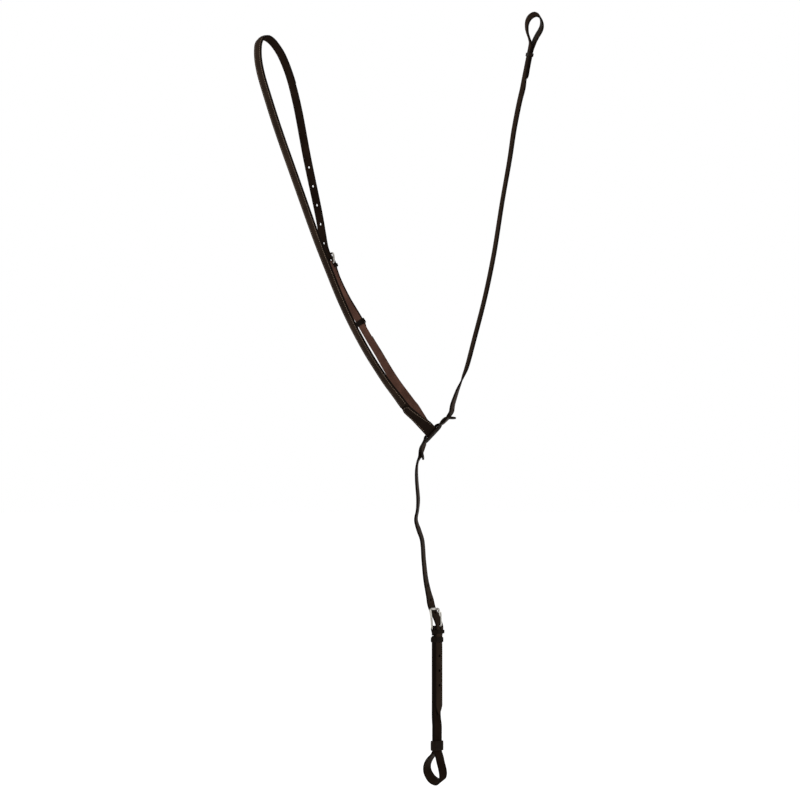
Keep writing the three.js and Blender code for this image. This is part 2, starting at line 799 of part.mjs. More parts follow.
// Martingale strap: from the sewn lap round the nose loop, down through the stop and the
// chest loop, through the girth buckle, to the tip of its billet
const noseAcross = vec(-0.19, 0.88, 0.44);
const noseLoop = [
  [453.4, -0.2, -9.3],
  [456.6, -3.1, -1.4],
  [460, -5.3, 5.1],
  [464.2, -7.4, 11.9],
  [467.2, -9.5, 18.7],
  [467.9, -12.1, 25.5],
  [466, -15.5, 32.9],
  [462.2, -18.5, 38.2],
  [456.8, -20.3, 40.2],
  [450.6, -20.5, 38],
  [445.2, -19, 32.6],
  [442.4, -16.3, 25.3],
  [442, -13.5, 18.7],
  [442.7, -10.6, 11.9],
  [445.2, -7.2, 4.2],
  [447.9, -4.2, -3.4],
  [449, -2.2, -10.2],
];
const stemRows = [
  [447.6, -1, -17, 13],
  [443.9, -0.4, -35.7, 14],
  [440.4, 0, -54, 15],
  [437.8, 0, -70, 19],
  [435.8, 0, -83.3, 23],
  [430.1, 0, -107.1, 21],
  [420.8, 0, -154.7, 19.5],
  [413.8, 0, -202.3, 17.5],
  [401.3, 0, -273.7, 16.5],
  [386, 0, -368.9, 17.5],
  [371.1, 0, -440.3, 17.5],
  [352.8, 0, -511.7, 17.5],
  [340, 0, -559.3, 15],
  [334.6, 0, -572.9, 7],
  [330, 0, -584.8, -4],
  [324.9, 0, -596.7, -12],
  [320.4, 0, -609.5, -17],
  [316.4, 0, -622, -20],
];
// Places along the strap and away from the neck, and the turn of the width direction where it
// isn't the chest's own
const chestRows = [
  [-48, -5, -22],
  [-40.3, -3.5, -19],
  [-34, -2.3, -14],
  [-28, -2.1],
  [-22.5, -3.1],
  [-17.8, -5.7],
  [-14.2, -7.6],
  [-10, -7.7],
  [0, -7.7],
  [10, -7.7],
  [14.2, -7.6],
  [17.8, -5.4],
  [23.5, -1.8, -20],
  [30, 0.4, -25],
  [36, 3.3, -22],
  [44, 7.9, -13],
];
const lowerRows = [
  [256.9, 0, -719.1, -5],
  [255.1, 0, -732.7, -8.5],
  [255.3, 0, -749.7, -11],
  [257.8, 0, -783.7, -13],
  [256.7, 0, -800.7, -10],
  [254.1, 0, -817.7, -13],
  [258.9, 0, -834.7, -19],
  [264.5, 0, -851.7, -17],
  [267.3, 0, -885.7, -17.5],
  [271, 1, -919.7, -21],
  [276.5, 3, -946.7, -28],
];
// Height above the heel bar, and how far out of the stack the billet's middle lies there
const billetRows = [
  [41, -12.8],
  [34.2, -10.6],
  [30.8, -8.8],
  [23.5, -3.7],
  [15.2, 0.6],
  [9, 3.6],
  [3, 5.2],
  [-2, 5.3],
  [-7, 4.2],
  [-12, 3.3],
];

function mainLine() {
  const lapOut = MAIN_THICKNESS + GAP;
  const stem = stations(stemRows);
  const beside = new StrapLine([station(vec(...noseLoop.at(-1)), noseAcross), ...stem.slice(0, 6)]);
  const lap = [];
  for (let s = LAP_LENGTH; s > 4; s -= 9) lap.push(beside.stationAt(s, lapOut));
  const loop = noseLoop.map((row) => station(vec(...row), noseAcross));
  const through = chestRows.map(([u, v, turn]) => {
    return station(chestPoint(u, v), turn === undefined ? chest.side : turned(turn));
  });
  const over = billetRows.map(([up, out]) => stackStation(GIRTH_HEEL_HEIGHT + up, out));
  const ends = [-1040, -1080, -1120, BILLET_TIP_HEIGHT].map((z) => stackStation(z, LAYER));
  return new StrapLine([
    ...lap,
    ...loop,
    ...stem,
    ...through,
    ...stations(lowerRows),
    ...over,
    ...ends,
  ]);
}
const mainStrapLine = mainLine();

function mainSection(clearance = 0) {
  const half = MAIN_WIDTH / 2 + clearance;
  const thickness = MAIN_THICKNESS + 2 * clearance;
  return (s) => flatSection(half, thickness);
}

function martingaleStrap() {
  const line = mainStrapLine;
  const half = MAIN_WIDTH / 2;
  const body = along(line, {
    extra: [...TIP_STEPS, ...TIP_STEPS.map((d) => line.length - d)],
    section: (s) =>
      flatSection(
        Math.min(roundEnd(half, s), pointEnd(half, line.length - s)),
        MAIN_THICKNESS,
      ),
  });
  const usedPlace = line.whereHeight(GIRTH_HEEL_HEIGHT + HOLE_FROM_HEEL, line.length * 0.6);
  const holes = [];
  for (let i = -GIRTH_HOLES_ABOVE; i <= GIRTH_HOLES_BELOW; i++) {
    const frame = line.frameAt(usedPlace + i * GIRTH_HOLE_PITCH);
    const used = i === 0;
    const depth = used ? 9 : MAIN_THICKNESS + 0.5;
    holes.push(punch(frame, GIRTH_HOLE_RADIUS, depth, used ? USED_HOLE_STRETCH : 1));
  }
  return part("martingale_strap", cut(body, holes), darkLeather());
}

const stopRows = [
  [-45.9, 7.9],
  [-42, 3.5],
  [-38.6, -0.3],
  [-35.4, -3.3],
  [-32, -4.8],
  [-28.5, -5.1],
  [-25, -5],
  [-21, -4.1],
  [-17.3, -2.7],
  [-14, -2.1],
  [-11, -2],
  [0, -2],
  [11, -2],
  [16, -2.1],
  [20, -2.5],
  [24, -2.5],
  [28.5, -1.8],
  [32.3, 0.6],
  [35.8, 4.8],
  [39.5, 10],
  [44.2, 15.8],
];

function stop() {
  const line = new StrapLine(
    stopRows.map(([u, v]) => station(chestPoint(u, v), chest.side)),
  );
  const half = STOP_WIDTH / 2;
  const strip = along(line, {
    extra: [...TIP_STEPS, ...TIP_STEPS.map((d) => line.length - d)],
    section: (s) =>
      flatSection(Math.min(roundEnd(half, s, 9), roundEnd(half, line.length - s, 9)), STOP_THICKNESS),
  });
  const threaded = along(mainStrapLine, {
    from: mainStrapLine.whereHeight(-600, 200),
    to: mainStrapLine.whereHeight(-730, 200),
    section: mainSection(SLOT_CLEARANCE),
  });
  return part("martingale_stop", cut(strip, [threaded]), rubber());
}

function noseKeeper() {
  const s = mainStrapLine.whereHeight(-26, 170);
  const band = bandGeometry({
    half: MAIN_WIDTH / 2 + 0.4,
    low: -MAIN_THICKNESS / 2 - 0.35,
    high: MAIN_THICKNESS / 2 + LAYER + 0.35,
    thickness: 1,
    height: 6,
  });
  return part("nose_keeper", band, darkLeather(), mainStrapLine.frameAt(s));
}

// Girth strap: one strap that runs down, round the girth loop and up again on itself, wraps
// the heel bar of the girth buckle and turns back to meet its own end
// Rows of x, y, z and the lean of the width direction, which is greatest under the girth
const LOOP_TURN = -39.7;
const girthLoop = [
  [285.4, 4, -1215.2, 0.15],
  [280.7, 7.5, -1220.6, 0.15],
  [275.7, 9.6, -1228.2, 0.15],
  [273.2, 11, -1235.9, 0.2],
  [273.4, 10.8, -1243.5, 0.3],
  [276.3, 8.5, -1251.2, 0.42],
  [281.2, 5, -1258, 0.52],
  [287.8, -0.5, -1262.3, 0.54],
  [293.8, -5.2, -1262.8, 0.5],
  [298.5, -9, -1258.3, 0.42],
  [300, -11, -1250.3, 0.3],
  [298.8, -10, -1240.1, 0.2],
  [296.2, -7.5, -1230, 0.15],
  [294, -4.2, -1220.3, 0.15],
  [292.4, -2.4, -1215.2, 0.15],
];
const TURN_BACK = 11.5;

// The throat of the girth loop: the last stretch where both layers lie on each other
const throatAcross = turned(-THROAT_YAW);
const throatOut = stackDown.clone().cross(throatAcross);
function throatFrame(z, out = 0) {
  const { at } = stackFrame(z, -LAYER / 2);
  at.x += THROAT_SHIFT;
  at.addScaledVector(throatOut, out);
  return { at, along: stackDown.clone(), across: throatAcross, out: throatOut };
}
function throatStation(z, out) {
  return station(throatFrame(z, out).at, throatAcross);
}

function girthStrap() {
  const list = [];
  const top = GIRTH_HEEL_HEIGHT - TURN_BACK - 1;
  const straight = [top, -1050, -1090, -1130, -1152];
  const throat = [-1168, -1180, -1192, -1201, -1209.5];
  for (const z of straight) list.push(stackStation(z, -LAYER));
  for (const z of throat) list.push(throatStation(z, -LAYER / 2));
  for (const [x, y, z, lean] of girthLoop) {
    list.push(station(vec(x, y, z), turned(LOOP_TURN, lean)));
  }
  for (const z of throat.reverse()) list.push(throatStation(z, LAYER / 2));
  for (const z of straight.reverse()) list.push(stackStation(z, 0));
  list.push(stackStation(GIRTH_HEEL_HEIGHT - 8, 0.15));
  list.push(...foldStations(girthHeel, GIRTH_FOLD));
  list.push(stackStation(GIRTH_HEEL_HEIGHT - 7.5, -LAYER - 0.15));
  list.push(stackStation(GIRTH_HEEL_HEIGHT - TURN_BACK, -LAYER));
  const line = new StrapLine(list);
  line.share(line.knots.slice(1, -1));
  const body = along(line, { section: mainSection() });
  const slot = new THREE.BoxGeometry(6, 26, 16).translate(0, 0, -1.6);
  return part(
    "girth_strap",
    cut(body, [slot.applyMatrix4(placement(girthHeel))]),
    darkLeather(),
  );
}

function girthKeepers() {
  const half = MAIN_WIDTH / 2 + 0.4;
  const reach = LAYER + MAIN_THICKNESS / 2 + 0.35;
  const sewn = openBandGeometry({
    half,
    low: -MAIN_THICKNESS / 2,
    high: GIRTH_OVER_FOLD + MAIN_THICKNESS / 2 + 0.2,
    thickness: 1.3,
    height: 6.2,
  });
  const runner = bandGeometry({ half, low: -reach, high: reach, thickness: 1.1, height: 8.5 });
  const throat = bandGeometry({
    half: half + 0.6,
    low: -LAYER / 2 - MAIN_THICKNESS / 2 - 0.7,
    high: LAYER / 2 + MAIN_THICKNESS / 2 + 0.7,
    thickness: 1.3,
    height: 16.5,
  });
  return [
    part("girth_fixed_keeper", sewn, darkLeather(), stackFrame(GIRTH_HEEL_HEIGHT - 5.3)),
    part("girth_runner_keeper", runner, darkLeather(), stackFrame(GIRTH_RUNNER_HEIGHT)),
    part("girth_loop_keeper", throat, darkLeather(), throatFrame(THROAT_KEEPER_HEIGHT)),
  ];
}

// Assembly
const neckAssembly = new THREE.Group();
neckAssembly.add(
  neckStrap(),
  ...raisedPair("near", nearFacing),
  neckBuckleStrap(),
  ...raisedPair("far", farFacing),
  ...buckle("neck", neckHeelFrame, {
    thickness: NECK_THICKNESS,
    bar: NECK_BAR,
    inside: NECK_FRAME_INSIDE,
    length: NECK_FRAME_LENGTH,
    frontOut: NECK_FRONT_OUT,
    fold: NECK_FOLD,
    arch: 0.6,
    tip: { back: 17.8, out: 9.3 },
  }),
  ...neckKeepers(),
  chestLoop(),
);

const strapAssembly = new THREE.Group();
strapAssembly.add(martingaleStrap(), noseKeeper(), stop());

const girthAssembly = new THREE.Group();
girthAssembly.add(
  girthStrap(),
  ...buckle("girth", girthHeel, {
    thickness: MAIN_THICKNESS,
    bar: GIRTH_BAR,
    inside: GIRTH_FRAME_INSIDE,
    length: GIRTH_FRAME_LENGTH,
    frontOut: GIRTH_FRONT_OUT,
    fold: GIRTH_FOLD,
    arch: 0.8,
    tip: { back: 28.9, out: 9.8 },
  }),
  ...girthKeepers(),
);

const martingale = new THREE.Group();
martingale.add(neckAssembly, strapAssembly, girthAssembly);

export default martingale;
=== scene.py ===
"""Looks of a standing martingale: its leather straps, stitching, buckles, keepers and stop."""

import math

import bmesh
import bpy
import numpy as np
from bpy.props import FloatProperty, FloatVectorProperty, IntProperty, PointerProperty
from bpy.types import Operator, Panel, PropertyGroup
from mathutils import Matrix, Vector


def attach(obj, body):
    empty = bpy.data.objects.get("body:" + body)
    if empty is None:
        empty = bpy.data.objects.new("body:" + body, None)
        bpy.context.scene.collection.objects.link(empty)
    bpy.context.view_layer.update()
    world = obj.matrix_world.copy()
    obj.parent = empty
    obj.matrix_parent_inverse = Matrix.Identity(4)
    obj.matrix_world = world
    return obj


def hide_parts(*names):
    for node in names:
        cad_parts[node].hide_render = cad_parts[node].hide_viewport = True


bl_info = {
    "name": "Standing martingale",
    "version": (1, 0, 0),
    "blender": (4, 5, 0),
    "location": "3D View > Sidebar > Martingale",
    "description": "Builds the straps, stitching, buckles, keepers and stop of a standing martingale",
    "category": "Object",
}

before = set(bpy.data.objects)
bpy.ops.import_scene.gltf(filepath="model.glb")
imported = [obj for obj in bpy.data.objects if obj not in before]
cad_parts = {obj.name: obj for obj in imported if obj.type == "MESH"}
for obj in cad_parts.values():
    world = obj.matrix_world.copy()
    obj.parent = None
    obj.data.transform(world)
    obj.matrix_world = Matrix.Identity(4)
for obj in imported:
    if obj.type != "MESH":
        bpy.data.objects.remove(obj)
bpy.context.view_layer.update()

MM = 0.001


# Lines that the straps follow


def unit(rows):
    """Each row of an array at length one."""
    rows = np.asarray(rows, float)
    return rows / np.linalg.norm(rows, axis=-1, keepdims=True)


def turned(degrees, lean=0.0):
    """A width direction that lies along the line of sight, turned about Z and leaning."""
    angle = math.radians(degrees)
    return [-math.sin(angle), math.cos(angle), lean]


class SmoothCurve:
    """A smooth curve through points, with knots spaced by a power of the points' distance."""

    def __init__(self, points, power):
        points = np.asarray(points, float)
        first = 2 * points[0] - points[1]
        last = 2 * points[-1] - points[-2]
        padded = np.vstack([first, points, last])
        self.spans = len(points) - 1
        gaps = np.linalg.norm(np.diff(padded, axis=0), axis=1) ** power if power else None
        self.coefficients = []
        for i in range(self.spans):
            a, b, c, d = padded[i : i + 4]
            if power:
                before, here, after = gaps[i : i + 3]
                start = (b - a) / before - (c - a) / (before + here) + (c - b) / here
                end = (c - b) / here - (d - b) / (here + after) + (d - c) / after
                start, end = start * here, end * here
            else:
                start, end = (c - a) / 2, (d - b) / 2
            self.coefficients.append(
                [b, start, 3 * (c - b) - 2 * start - end, 2 * (b - c) + start + end]
            )
        self.coefficients = np.array(self.coefficients)

    def at(self, t):
        """Points and their rates of change at places from 0 to 1."""
        place = np.clip(np.asarray(t, float), 0, 1) * self.spans
        span = np.minimum(place.astype(int), self.spans - 1)
        x = (place - span)[:, None]
        a, b, c, d = (self.coefficients[span, k] for k in range(4))
        return a + x * (b + x * (c + x * d)), b + x * (2 * c + x * 3 * d)


class Frames:
    """Places along a strap, each with its along, across and out directions."""

    def __init__(self, at, across, out):
        self.at, self.across, self.out = at, across, out
        steps = np.linalg.norm(np.diff(at, axis=0), axis=1)
        self.run = np.concatenate([[0.0], np.cumsum(steps)])

    def __len__(self):
        return len(self.at)

    @property
    def along(self):
        """The direction of travel."""
        return np.cross(self.across, self.out)

    def raised(self, out):
        """The same frames, further out."""
        shift = np.broadcast_to(np.asarray(out, float), (len(self),))[:, None]
        return Frames(self.at + self.out * shift, self.across, self.out)

    def turned_over(self):
        """The same frames with their inner side out."""
        return Frames(self.at, -self.across, -self.out)

    def reversed(self):
        """The same strap followed the other way, with the same side out."""
        return Frames(self.at[::-1], -self.across[::-1], self.out[::-1])

    def spots(self, places):
        """Frames on this strap's surface at places along and across it, as one line."""
        s, w = np.array(places, float).T
        at, across, out = (
            np.column_stack([np.interp(s, self.run, rows[:, k]) for k in range(3)])
            for rows in (self.at, self.across, self.out)
        )
        at = at + across * w[:, None]
        out = unit(out)
        along = unit(np.gradient(at, axis=0))
        return Frames(at, unit(np.cross(out, along)), out)

    def joined(self, *others):
        """These frames and then others, as one strap."""
        chain = [self, *others]
        parts = zip(*((f.at, f.across, f.out) for f in chain))
        return Frames(*(np.vstack(rows) for rows in parts))

    def matrix(self, index):
        """The placement of one frame, with X across, Y out and Z along."""
        axes = (self.across[index], self.out[index], self.along[index], self.at[index])
        return Matrix([*np.column_stack(axes).tolist(), (0, 0, 0, 1)])

    def point(self, *beside):
        """A point beside the first frame, by its place across, out and along."""
        basis = np.column_stack([self.across[0], self.out[0], self.along[0]])
        return self.at[0] + basis @ np.array(beside)


class StrapLine:
    """The line that a strap follows, in millimetres, with its width direction along it."""

    def __init__(self, places, widths):
        self.centre = SmoothCurve(places, 0.5)
        self.width = SmoothCurve(unit(widths), 0)
        count = self.centre.spans * 24
        self.t = np.linspace(0, 1, count + 1)
        points, _ = self.centre.at(self.t)
        steps = np.linalg.norm(np.diff(points, axis=0), axis=1)
        self.s = np.concatenate([[0.0], np.cumsum(steps)])
        self.length = self.s[-1]
        self.points = points

    def frames(self, s):
        """Frames at distances along the line."""
        t = np.interp(np.atleast_1d(s), self.s, self.t)
        at, rate = self.centre.at(t)
        along = unit(rate)
        across, _ = self.width.at(t)
        across = unit(across - along * np.sum(across * along, axis=1, keepdims=True))
        return Frames(at, across, np.cross(along, across))

    def where_height(self, z, after=0.0):
        """The first place, after a start, where the line comes down through a height."""
        low = np.nonzero((self.s >= after) & (self.points[:, 2] <= z))[0]
        return float(self.s[low[0]])


def every(start, end, step, extra=()):
    """Distances from start to end at most a step apart, with others among them."""
    count = max(2, int(math.ceil((end - start) / step)) + 1)
    grid = np.linspace(start, end, count)
    extra = np.array([e for e in extra if start < e < end])
    if len(extra):
        keep = np.abs(grid[:, None] - extra[None, :]).min(axis=1) > 0.3
        keep[0] = keep[-1] = True
        grid = np.concatenate([grid[keep], extra])
    return np.sort(grid)


def smooth_step(x, low, high):
    """0 below low, 1 above high, and a smooth rise between."""
    t = np.clip((np.asarray(x, float) - low) / (high - low), 0, 1)
    return t * t * (3 - 2 * t)


def by_turn(rows):
    """A line through rows of x, y, z and the turn and lean of the width direction."""
    return StrapLine([r[:3] for r in rows], [turned(*r[3:]) for r in rows])


# The neck strap's ring: up the near leg from the chest, over the top, down the far leg
NECK_RING = [
    (273.8, -8.8, -661.4, 90), (266.2, -8.8, -654.2, 88), (253.1, -9.8, -642, 80),
    (239.6, -11.5, -629.5, 71), (222.5, -15.5, -606.9, 59), (204.5, -19, -583.1, 51),
    (188.8, -22, -559.3, 48), (173.9, -24, -535.5, 47), (147.9, -25.5, -487.9, 45),
    (125.9, -26, -440.3, 46), (106.7, -26, -392.7, 47), (88.1, -25.5, -345.1, 48),
    (54.1, -23.5, -249.9, 50), (20.6, -21, -154.7, 51), (5.3, -18.5, -107.1, 50),
    (-8.8, -15.5, -59.5, 49), (-13.2, -13, -35.7, 48), (-13.9, -11, -18.7, 48, -0.06),
    (-12.5, -8.5, -7.6, 48, -0.15), (-7.6, -5, -0.2, 48, -0.3), (0, 0, 1.45, 49, -0.36),
    (7.6, 4.5, -2.9, 51, -0.3), (15, 9, -11.2, 53, -0.15), (24.6, 14, -26.3, 54, -0.06),
    (38, 19, -59.5, 52), (50.7, 21.5, -107.1, 56), (68.8, 24, -202.3, 57), (88.6, 26, -297.5, 53),
    (94.5, 26.5, -331, 50), (99.3, 26.5, -355, 45), (104.1, 26.5, -368.3, 45),
    (108.9, 26.5, -381.6, 45), (113.7, 26.5, -395, 45), (118.5, 26.5, -408.3, 44),
    (134.1, 26, -440.3, 43), (148.2, 25.7, -464.1, 44), (162.3, 25.4, -487.9, 46),
    (176.1, 25, -511.7, 48), (190.6, 24, -535.5, 50), (204.4, 22, -559.3, 53),
    (219.2, 19, -583.1, 60), (236.3, 15.5, -606.9, 71), (253.8, 11.5, -629.9, 82),
    (261, 9.8, -642, 87), (267.6, 8.8, -654.2, 90), (274.7, 8.8, -661, 90),
]
NOSE_ACROSS = (-0.19, 0.88, 0.44)
NOSE_LOOP = [
    (453.4, -0.2, -9.3), (456.6, -3.1, -1.4), (460, -5.3, 5.1), (464.2, -7.4, 11.9),
    (467.2, -9.5, 18.7), (467.9, -12.1, 25.5), (466, -15.5, 32.9), (462.2, -18.5, 38.2),
    (456.8, -20.3, 40.2), (450.6, -20.5, 38), (445.2, -19, 32.6), (442.4, -16.3, 25.3),
    (442, -13.5, 18.7), (442.7, -10.6, 11.9), (445.2, -7.2, 4.2), (447.9, -4.2, -3.4),
    (449, -2.2, -10.2),
]
STEM = [
    (447.6, -1, -17, 13), (443.9, -0.4, -35.7, 14), (440.4, 0, -54, 15), (437.8, 0, -70, 19),
    (435.8, 0, -83.3, 23), (430.1, 0, -107.1, 21), (420.8, 0, -154.7, 19.5),
    (413.8, 0, -202.3, 17.5), (401.3, 0, -273.7, 16.5), (386, 0, -368.9, 17.5),
    (371.1, 0, -440.3, 17.5), (352.8, 0, -511.7, 17.5), (340, 0, -559.3, 15), (334.6, 0, -572.9, 7),
    (330, 0, -584.8, -4), (324.9, 0, -596.7, -12), (320.4, 0, -609.5, -17), (316.4, 0, -622, -20),
]
# Along the strap and away from the neck, from the chest loop's middle, and the turn of the
# width direction where it isn't the chest's own
CHEST_STRAP = [
    (-48, -5, -22), (-40.3, -3.5, -19), (-34, -2.3, -14), (-28, -2.1), (-22.5, -3.1), (-17.8, -5.7),
    (-14.2, -7.6), (-10, -7.7), (0, -7.7), (10, -7.7), (14.2, -7.6), (17.8, -5.4),
    (23.5, -1.8, -20), (30, 0.4, -25), (36, 3.3, -22), (44, 7.9, -13),
]
STOP = [
    (-45.9, 7.9), (-42, 3.5), (-38.6, -0.3), (-35.4, -3.3), (-32, -4.8), (-28.5, -5.1), (-25, -5),
    (-21, -4.1), (-17.3, -2.7), (-14, -2.1), (-11, -2), (0, -2), (11, -2), (16, -2.1), (20, -2.5),
    (24, -2.5), (28.5, -1.8), (32.3, 0.6), (35.8, 4.8), (39.5, 10), (44.2, 15.8),
]
LOWER = [
    (256.9, 0, -719.1, -5), (255.1, 0, -732.7, -8.5), (255.3, 0, -749.7, -11),
    (257.8, 0, -783.7, -13), (256.7, 0, -800.7, -10), (254.1, 0, -817.7, -13),
    (258.9, 0, -834.7, -19), (264.5, 0, -851.7, -17), (267.3, 0, -885.7, -17.5),
    (271, 1, -919.7, -21), (276.5, 3, -946.7, -28),
]
# Height above the girth buckle's heel bar, and how far out of the stack the billet lies
BILLET = [
    (41, -12.8), (34.2, -10.6), (30.8, -8.8), (23.5, -3.7), (15.2, 0.6), (9, 3.6), (3, 5.2),
    (-2, 5.3), (-7, 4.2), (-12, 3.3),
]
# Places of the girth loop, and the lean of its width direction
GIRTH_LOOP = [
    (285.4, 4, -1215.2, 0.15), (280.7, 7.5, -1220.6, 0.15), (275.7, 9.6, -1228.2, 0.15),
    (273.2, 11, -1235.9, 0.2), (273.4, 10.8, -1243.5, 0.3), (276.3, 8.5, -1251.2, 0.42),
    (281.2, 5, -1258, 0.52), (287.8, -0.5, -1262.3, 0.54), (293.8, -5.2, -1262.8, 0.5),
    (298.5, -9, -1258.3, 0.42), (300, -11, -1250.3, 0.3), (298.8, -10, -1240.1, 0.2),
    (296.2, -7.5, -1230, 0.15), (294, -4.2, -1220.3, 0.15), (292.4, -2.4, -1215.2, 0.15),
]

# The room between two layers, and the thickness of each strap
GAP = 0.3
NECK_THICK, MAIN_THICK, CHEST_THICK, STOP_THICK = 2.4, 3.0, 2.4, 2.4
# Each buckle: the bar's radius; width and length inside, how far out the front bar lies and the
# arch of the sides; how far before the heel bar and out of it the tongue's tip lies
NECK_BAR, GIRTH_BAR = 1.6, 1.9
NECK_FRAME, GIRTH_FRAME = (18, 16, 5.4, 0.6), (21, 33, -4.05, 0.8)
NECK_TIP, GIRTH_TIP = (17.8, 9.3), (28.9, 9.8)
HOLE_FROM_HEEL = 3.6
NECK_HOLE_STEP, GIRTH_HOLE_STEP = 33, 25
# The length of each leaf of the chest loop
LEAF = 54
# Distances from a rounded end at which its outline needs a point
NEAR_END = (0.3, 0.8, 1.6, 2.6, 4, 6)
# How far rows of stitches lie from the rims, and how long the stitches are
NECK_INSET, MAIN_INSET, CHEST_INSET = 1.7, 1.9, 2.4
SHORT_STITCH, LONG_STITCH = 2.3, 2.4
LAYER = MAIN_THICK + GAP
CHEST_AT = np.array([285.1, 0, -672.5])
CHEST_ALONG = np.array([-0.682, 0, -0.7314])
CHEST_TILT = math.radians(8)
CHEST_LEVEL = np.array([0.7314, 0, -0.682])
CHEST_AWAY = CHEST_LEVEL * math.cos(CHEST_TILT) - np.array([0, math.sin(CHEST_TILT), 0])
CHEST_SIDE = CHEST_LEVEL * math.sin(CHEST_TILT) + np.array([0, math.cos(CHEST_TILT), 0])
GIRTH_HEEL_Z = -1002.2
GIRTH_TIP_Z = -1149
STACK_X = 290
STACK_ACROSS = np.array(turned(-36.5))
THROAT_ACROSS = np.array(turned(-42))
DOWN = np.array([0.0, 0, -1])
STACK_OUT = np.cross(DOWN, STACK_ACROSS)
THROAT_OUT = np.cross(DOWN, THROAT_ACROSS)


def chest_point(along, away, side=0.0):
    """A point by its place along the chest loop, away from the neck, and to the far side."""
    return list(CHEST_AT + along * CHEST_ALONG + away * CHEST_AWAY + side * CHEST_SIDE)


def stack_point(z, out):
    """A point of the straight girth stack."""
    return list(np.array([STACK_X, 0, z]) + out * STACK_OUT)


def stack_frames(heights, out=0.0):
    """Frames of the straight girth stack at some heights."""
    at = np.array([stack_point(z, out) for z in heights])
    return Frames(at, *(np.repeat(axis[None], len(at), axis=0) for axis in (STACK_ACROSS, STACK_OUT)))


def throat_point(z, out=0.0):
    """A point of the stretch above the girth loop."""
    return np.array(stack_point(z, -LAYER / 2)) + [1.2, 0, 0] + out * THROAT_OUT


neck_ring = by_turn(NECK_RING)
neck_heel = neck_ring.where_height(-380.5, neck_ring.length / 2)
neck_tip = neck_ring.where_height(-497, neck_heel)
NECK_FOLD = NECK_BAR + 0.25 + NECK_THICK / 2
NECK_LYING = NECK_THICK + GAP
NECK_OVER = NECK_FOLD - (NECK_THICK + GAP) / 2 + NECK_THICK + GAP + 0.1
GIRTH_FOLD = GIRTH_BAR + 0.25 + MAIN_THICK / 2


def fold_points(heel, radius):
    """Places round a heel bar, from the outer side over the top to the inner side."""
    at, out, along = heel.at[0], heel.out[0], heel.along[0]
    return [
        at + radius * (out * math.cos(a) - along * math.sin(a))
        for a in np.radians(range(-10, 191, 25))
    ]


def neck_heel_frame():
    """The middle of the neck buckle's heel bar."""
    return neck_ring.frames(neck_heel).raised(-(NECK_THICK + GAP) / 2)


def girth_heel_frame():
    """The middle of the girth buckle's heel bar."""
    return stack_frames([GIRTH_HEEL_Z], -LAYER / 2)


def neck_billet_out(s):
    """How far the neck billet stands out as it climbs over its buckle's fold."""
    climb = smooth_step(s, neck_heel - 18, neck_heel - 1) * NECK_OVER
    return climb - smooth_step(s, neck_heel + 3, neck_heel + 13) * (NECK_OVER - NECK_LYING)


def main_line():
    """The line of the long strap, from its sewn lap to the tip of its girth billet."""
    stem = [(r[:3], turned(*r[3:])) for r in STEM]
    loop = [(p, NOSE_ACROSS) for p in NOSE_LOOP]
    beside = StrapLine(*zip(loop[-1], *stem[:6]))
    lapped = beside.frames(np.arange(58, 4, -9.0)).raised(LAYER)
    rows = list(zip(lapped.at, lapped.across)) + loop + stem
    rows += [(chest_point(*r[:2]), turned(*r[2:]) if r[2:] else CHEST_SIDE) for r in CHEST_STRAP]
    rows += [(r[:3], turned(*r[3:])) for r in LOWER]
    rows += [(stack_point(GIRTH_HEEL_Z + up, out), STACK_ACROSS) for up, out in BILLET]
    rows += [(stack_point(z, LAYER), STACK_ACROSS) for z in (-1040, -1080, -1120, GIRTH_TIP_Z)]
    return StrapLine(*zip(*rows))


main_strap = main_line()


# Sections, and the meshes that follow the lines


NARROWEST_CREASED = 4


def mirrored(points):
    """An outline's points on its other side, in the order that goes on round it."""
    return [(-w, n) for w, n in reversed(points)]


def leather_section(half, thick, crease=2.0, crown=0.12):
    """A strap's outline: grain side with creased rims, rounded edges, flat flesh side."""
    round_edge = min(0.9, thick * 0.32, half * 0.45)
    top, low = thick / 2, -thick / 2
    arc = np.radians([0, 30, 60, 90])
    right_low = [
        (half - round_edge + round_edge * math.sin(a), low + round_edge * (1 - math.cos(a)))
        for a in arc
    ]
    right_high = [(w, -n) for w, n in reversed(right_low)]
    inside = half - round_edge
    crease = min(crease, half * 0.5)
    grain = [(inside - 0.1 * half, top + crown * 0.3)]
    if half > NARROWEST_CREASED:
        grain = [
            (half - crease + 0.45, top + 0.02),
            (half - crease, top - 0.22),
            (half - crease - 0.45, top + 0.06),
        ]
    grain += [(half * 0.45, top + crown), (0, top + crown)]
    grain += mirrored(grain[:-1])
    right = right_low + right_high
    rim = ["edge"] * (len(right) - 1)
    zones = rim + ["grain"] * (len(grain) + 1) + rim + ["flesh"]
    return right + grain + mirrored(right), zones


def sheet_section(half, thick):
    """A plain outline with rounded edges and one finish all round."""
    points, zones = leather_section(half, thick, crown=0.0)
    return points, ["edge" if z == "edge" else "grain" for z in zones]


def round_tip(half, left, radius=None):
    """Half width at a distance from a rounded end."""
    radius = radius or half
    rise = np.clip(1 - np.asarray(left, float) / radius, 0, 1)
    return np.maximum(0.5, half * np.sqrt(1 - rise * rise))


def point_tip(half, left):
    """Half width at a distance from a pointed end."""
    share = np.clip(np.asarray(left, float) / (half * 1.7), 0, 1)
    return np.maximum(0.5, half * share**0.62)


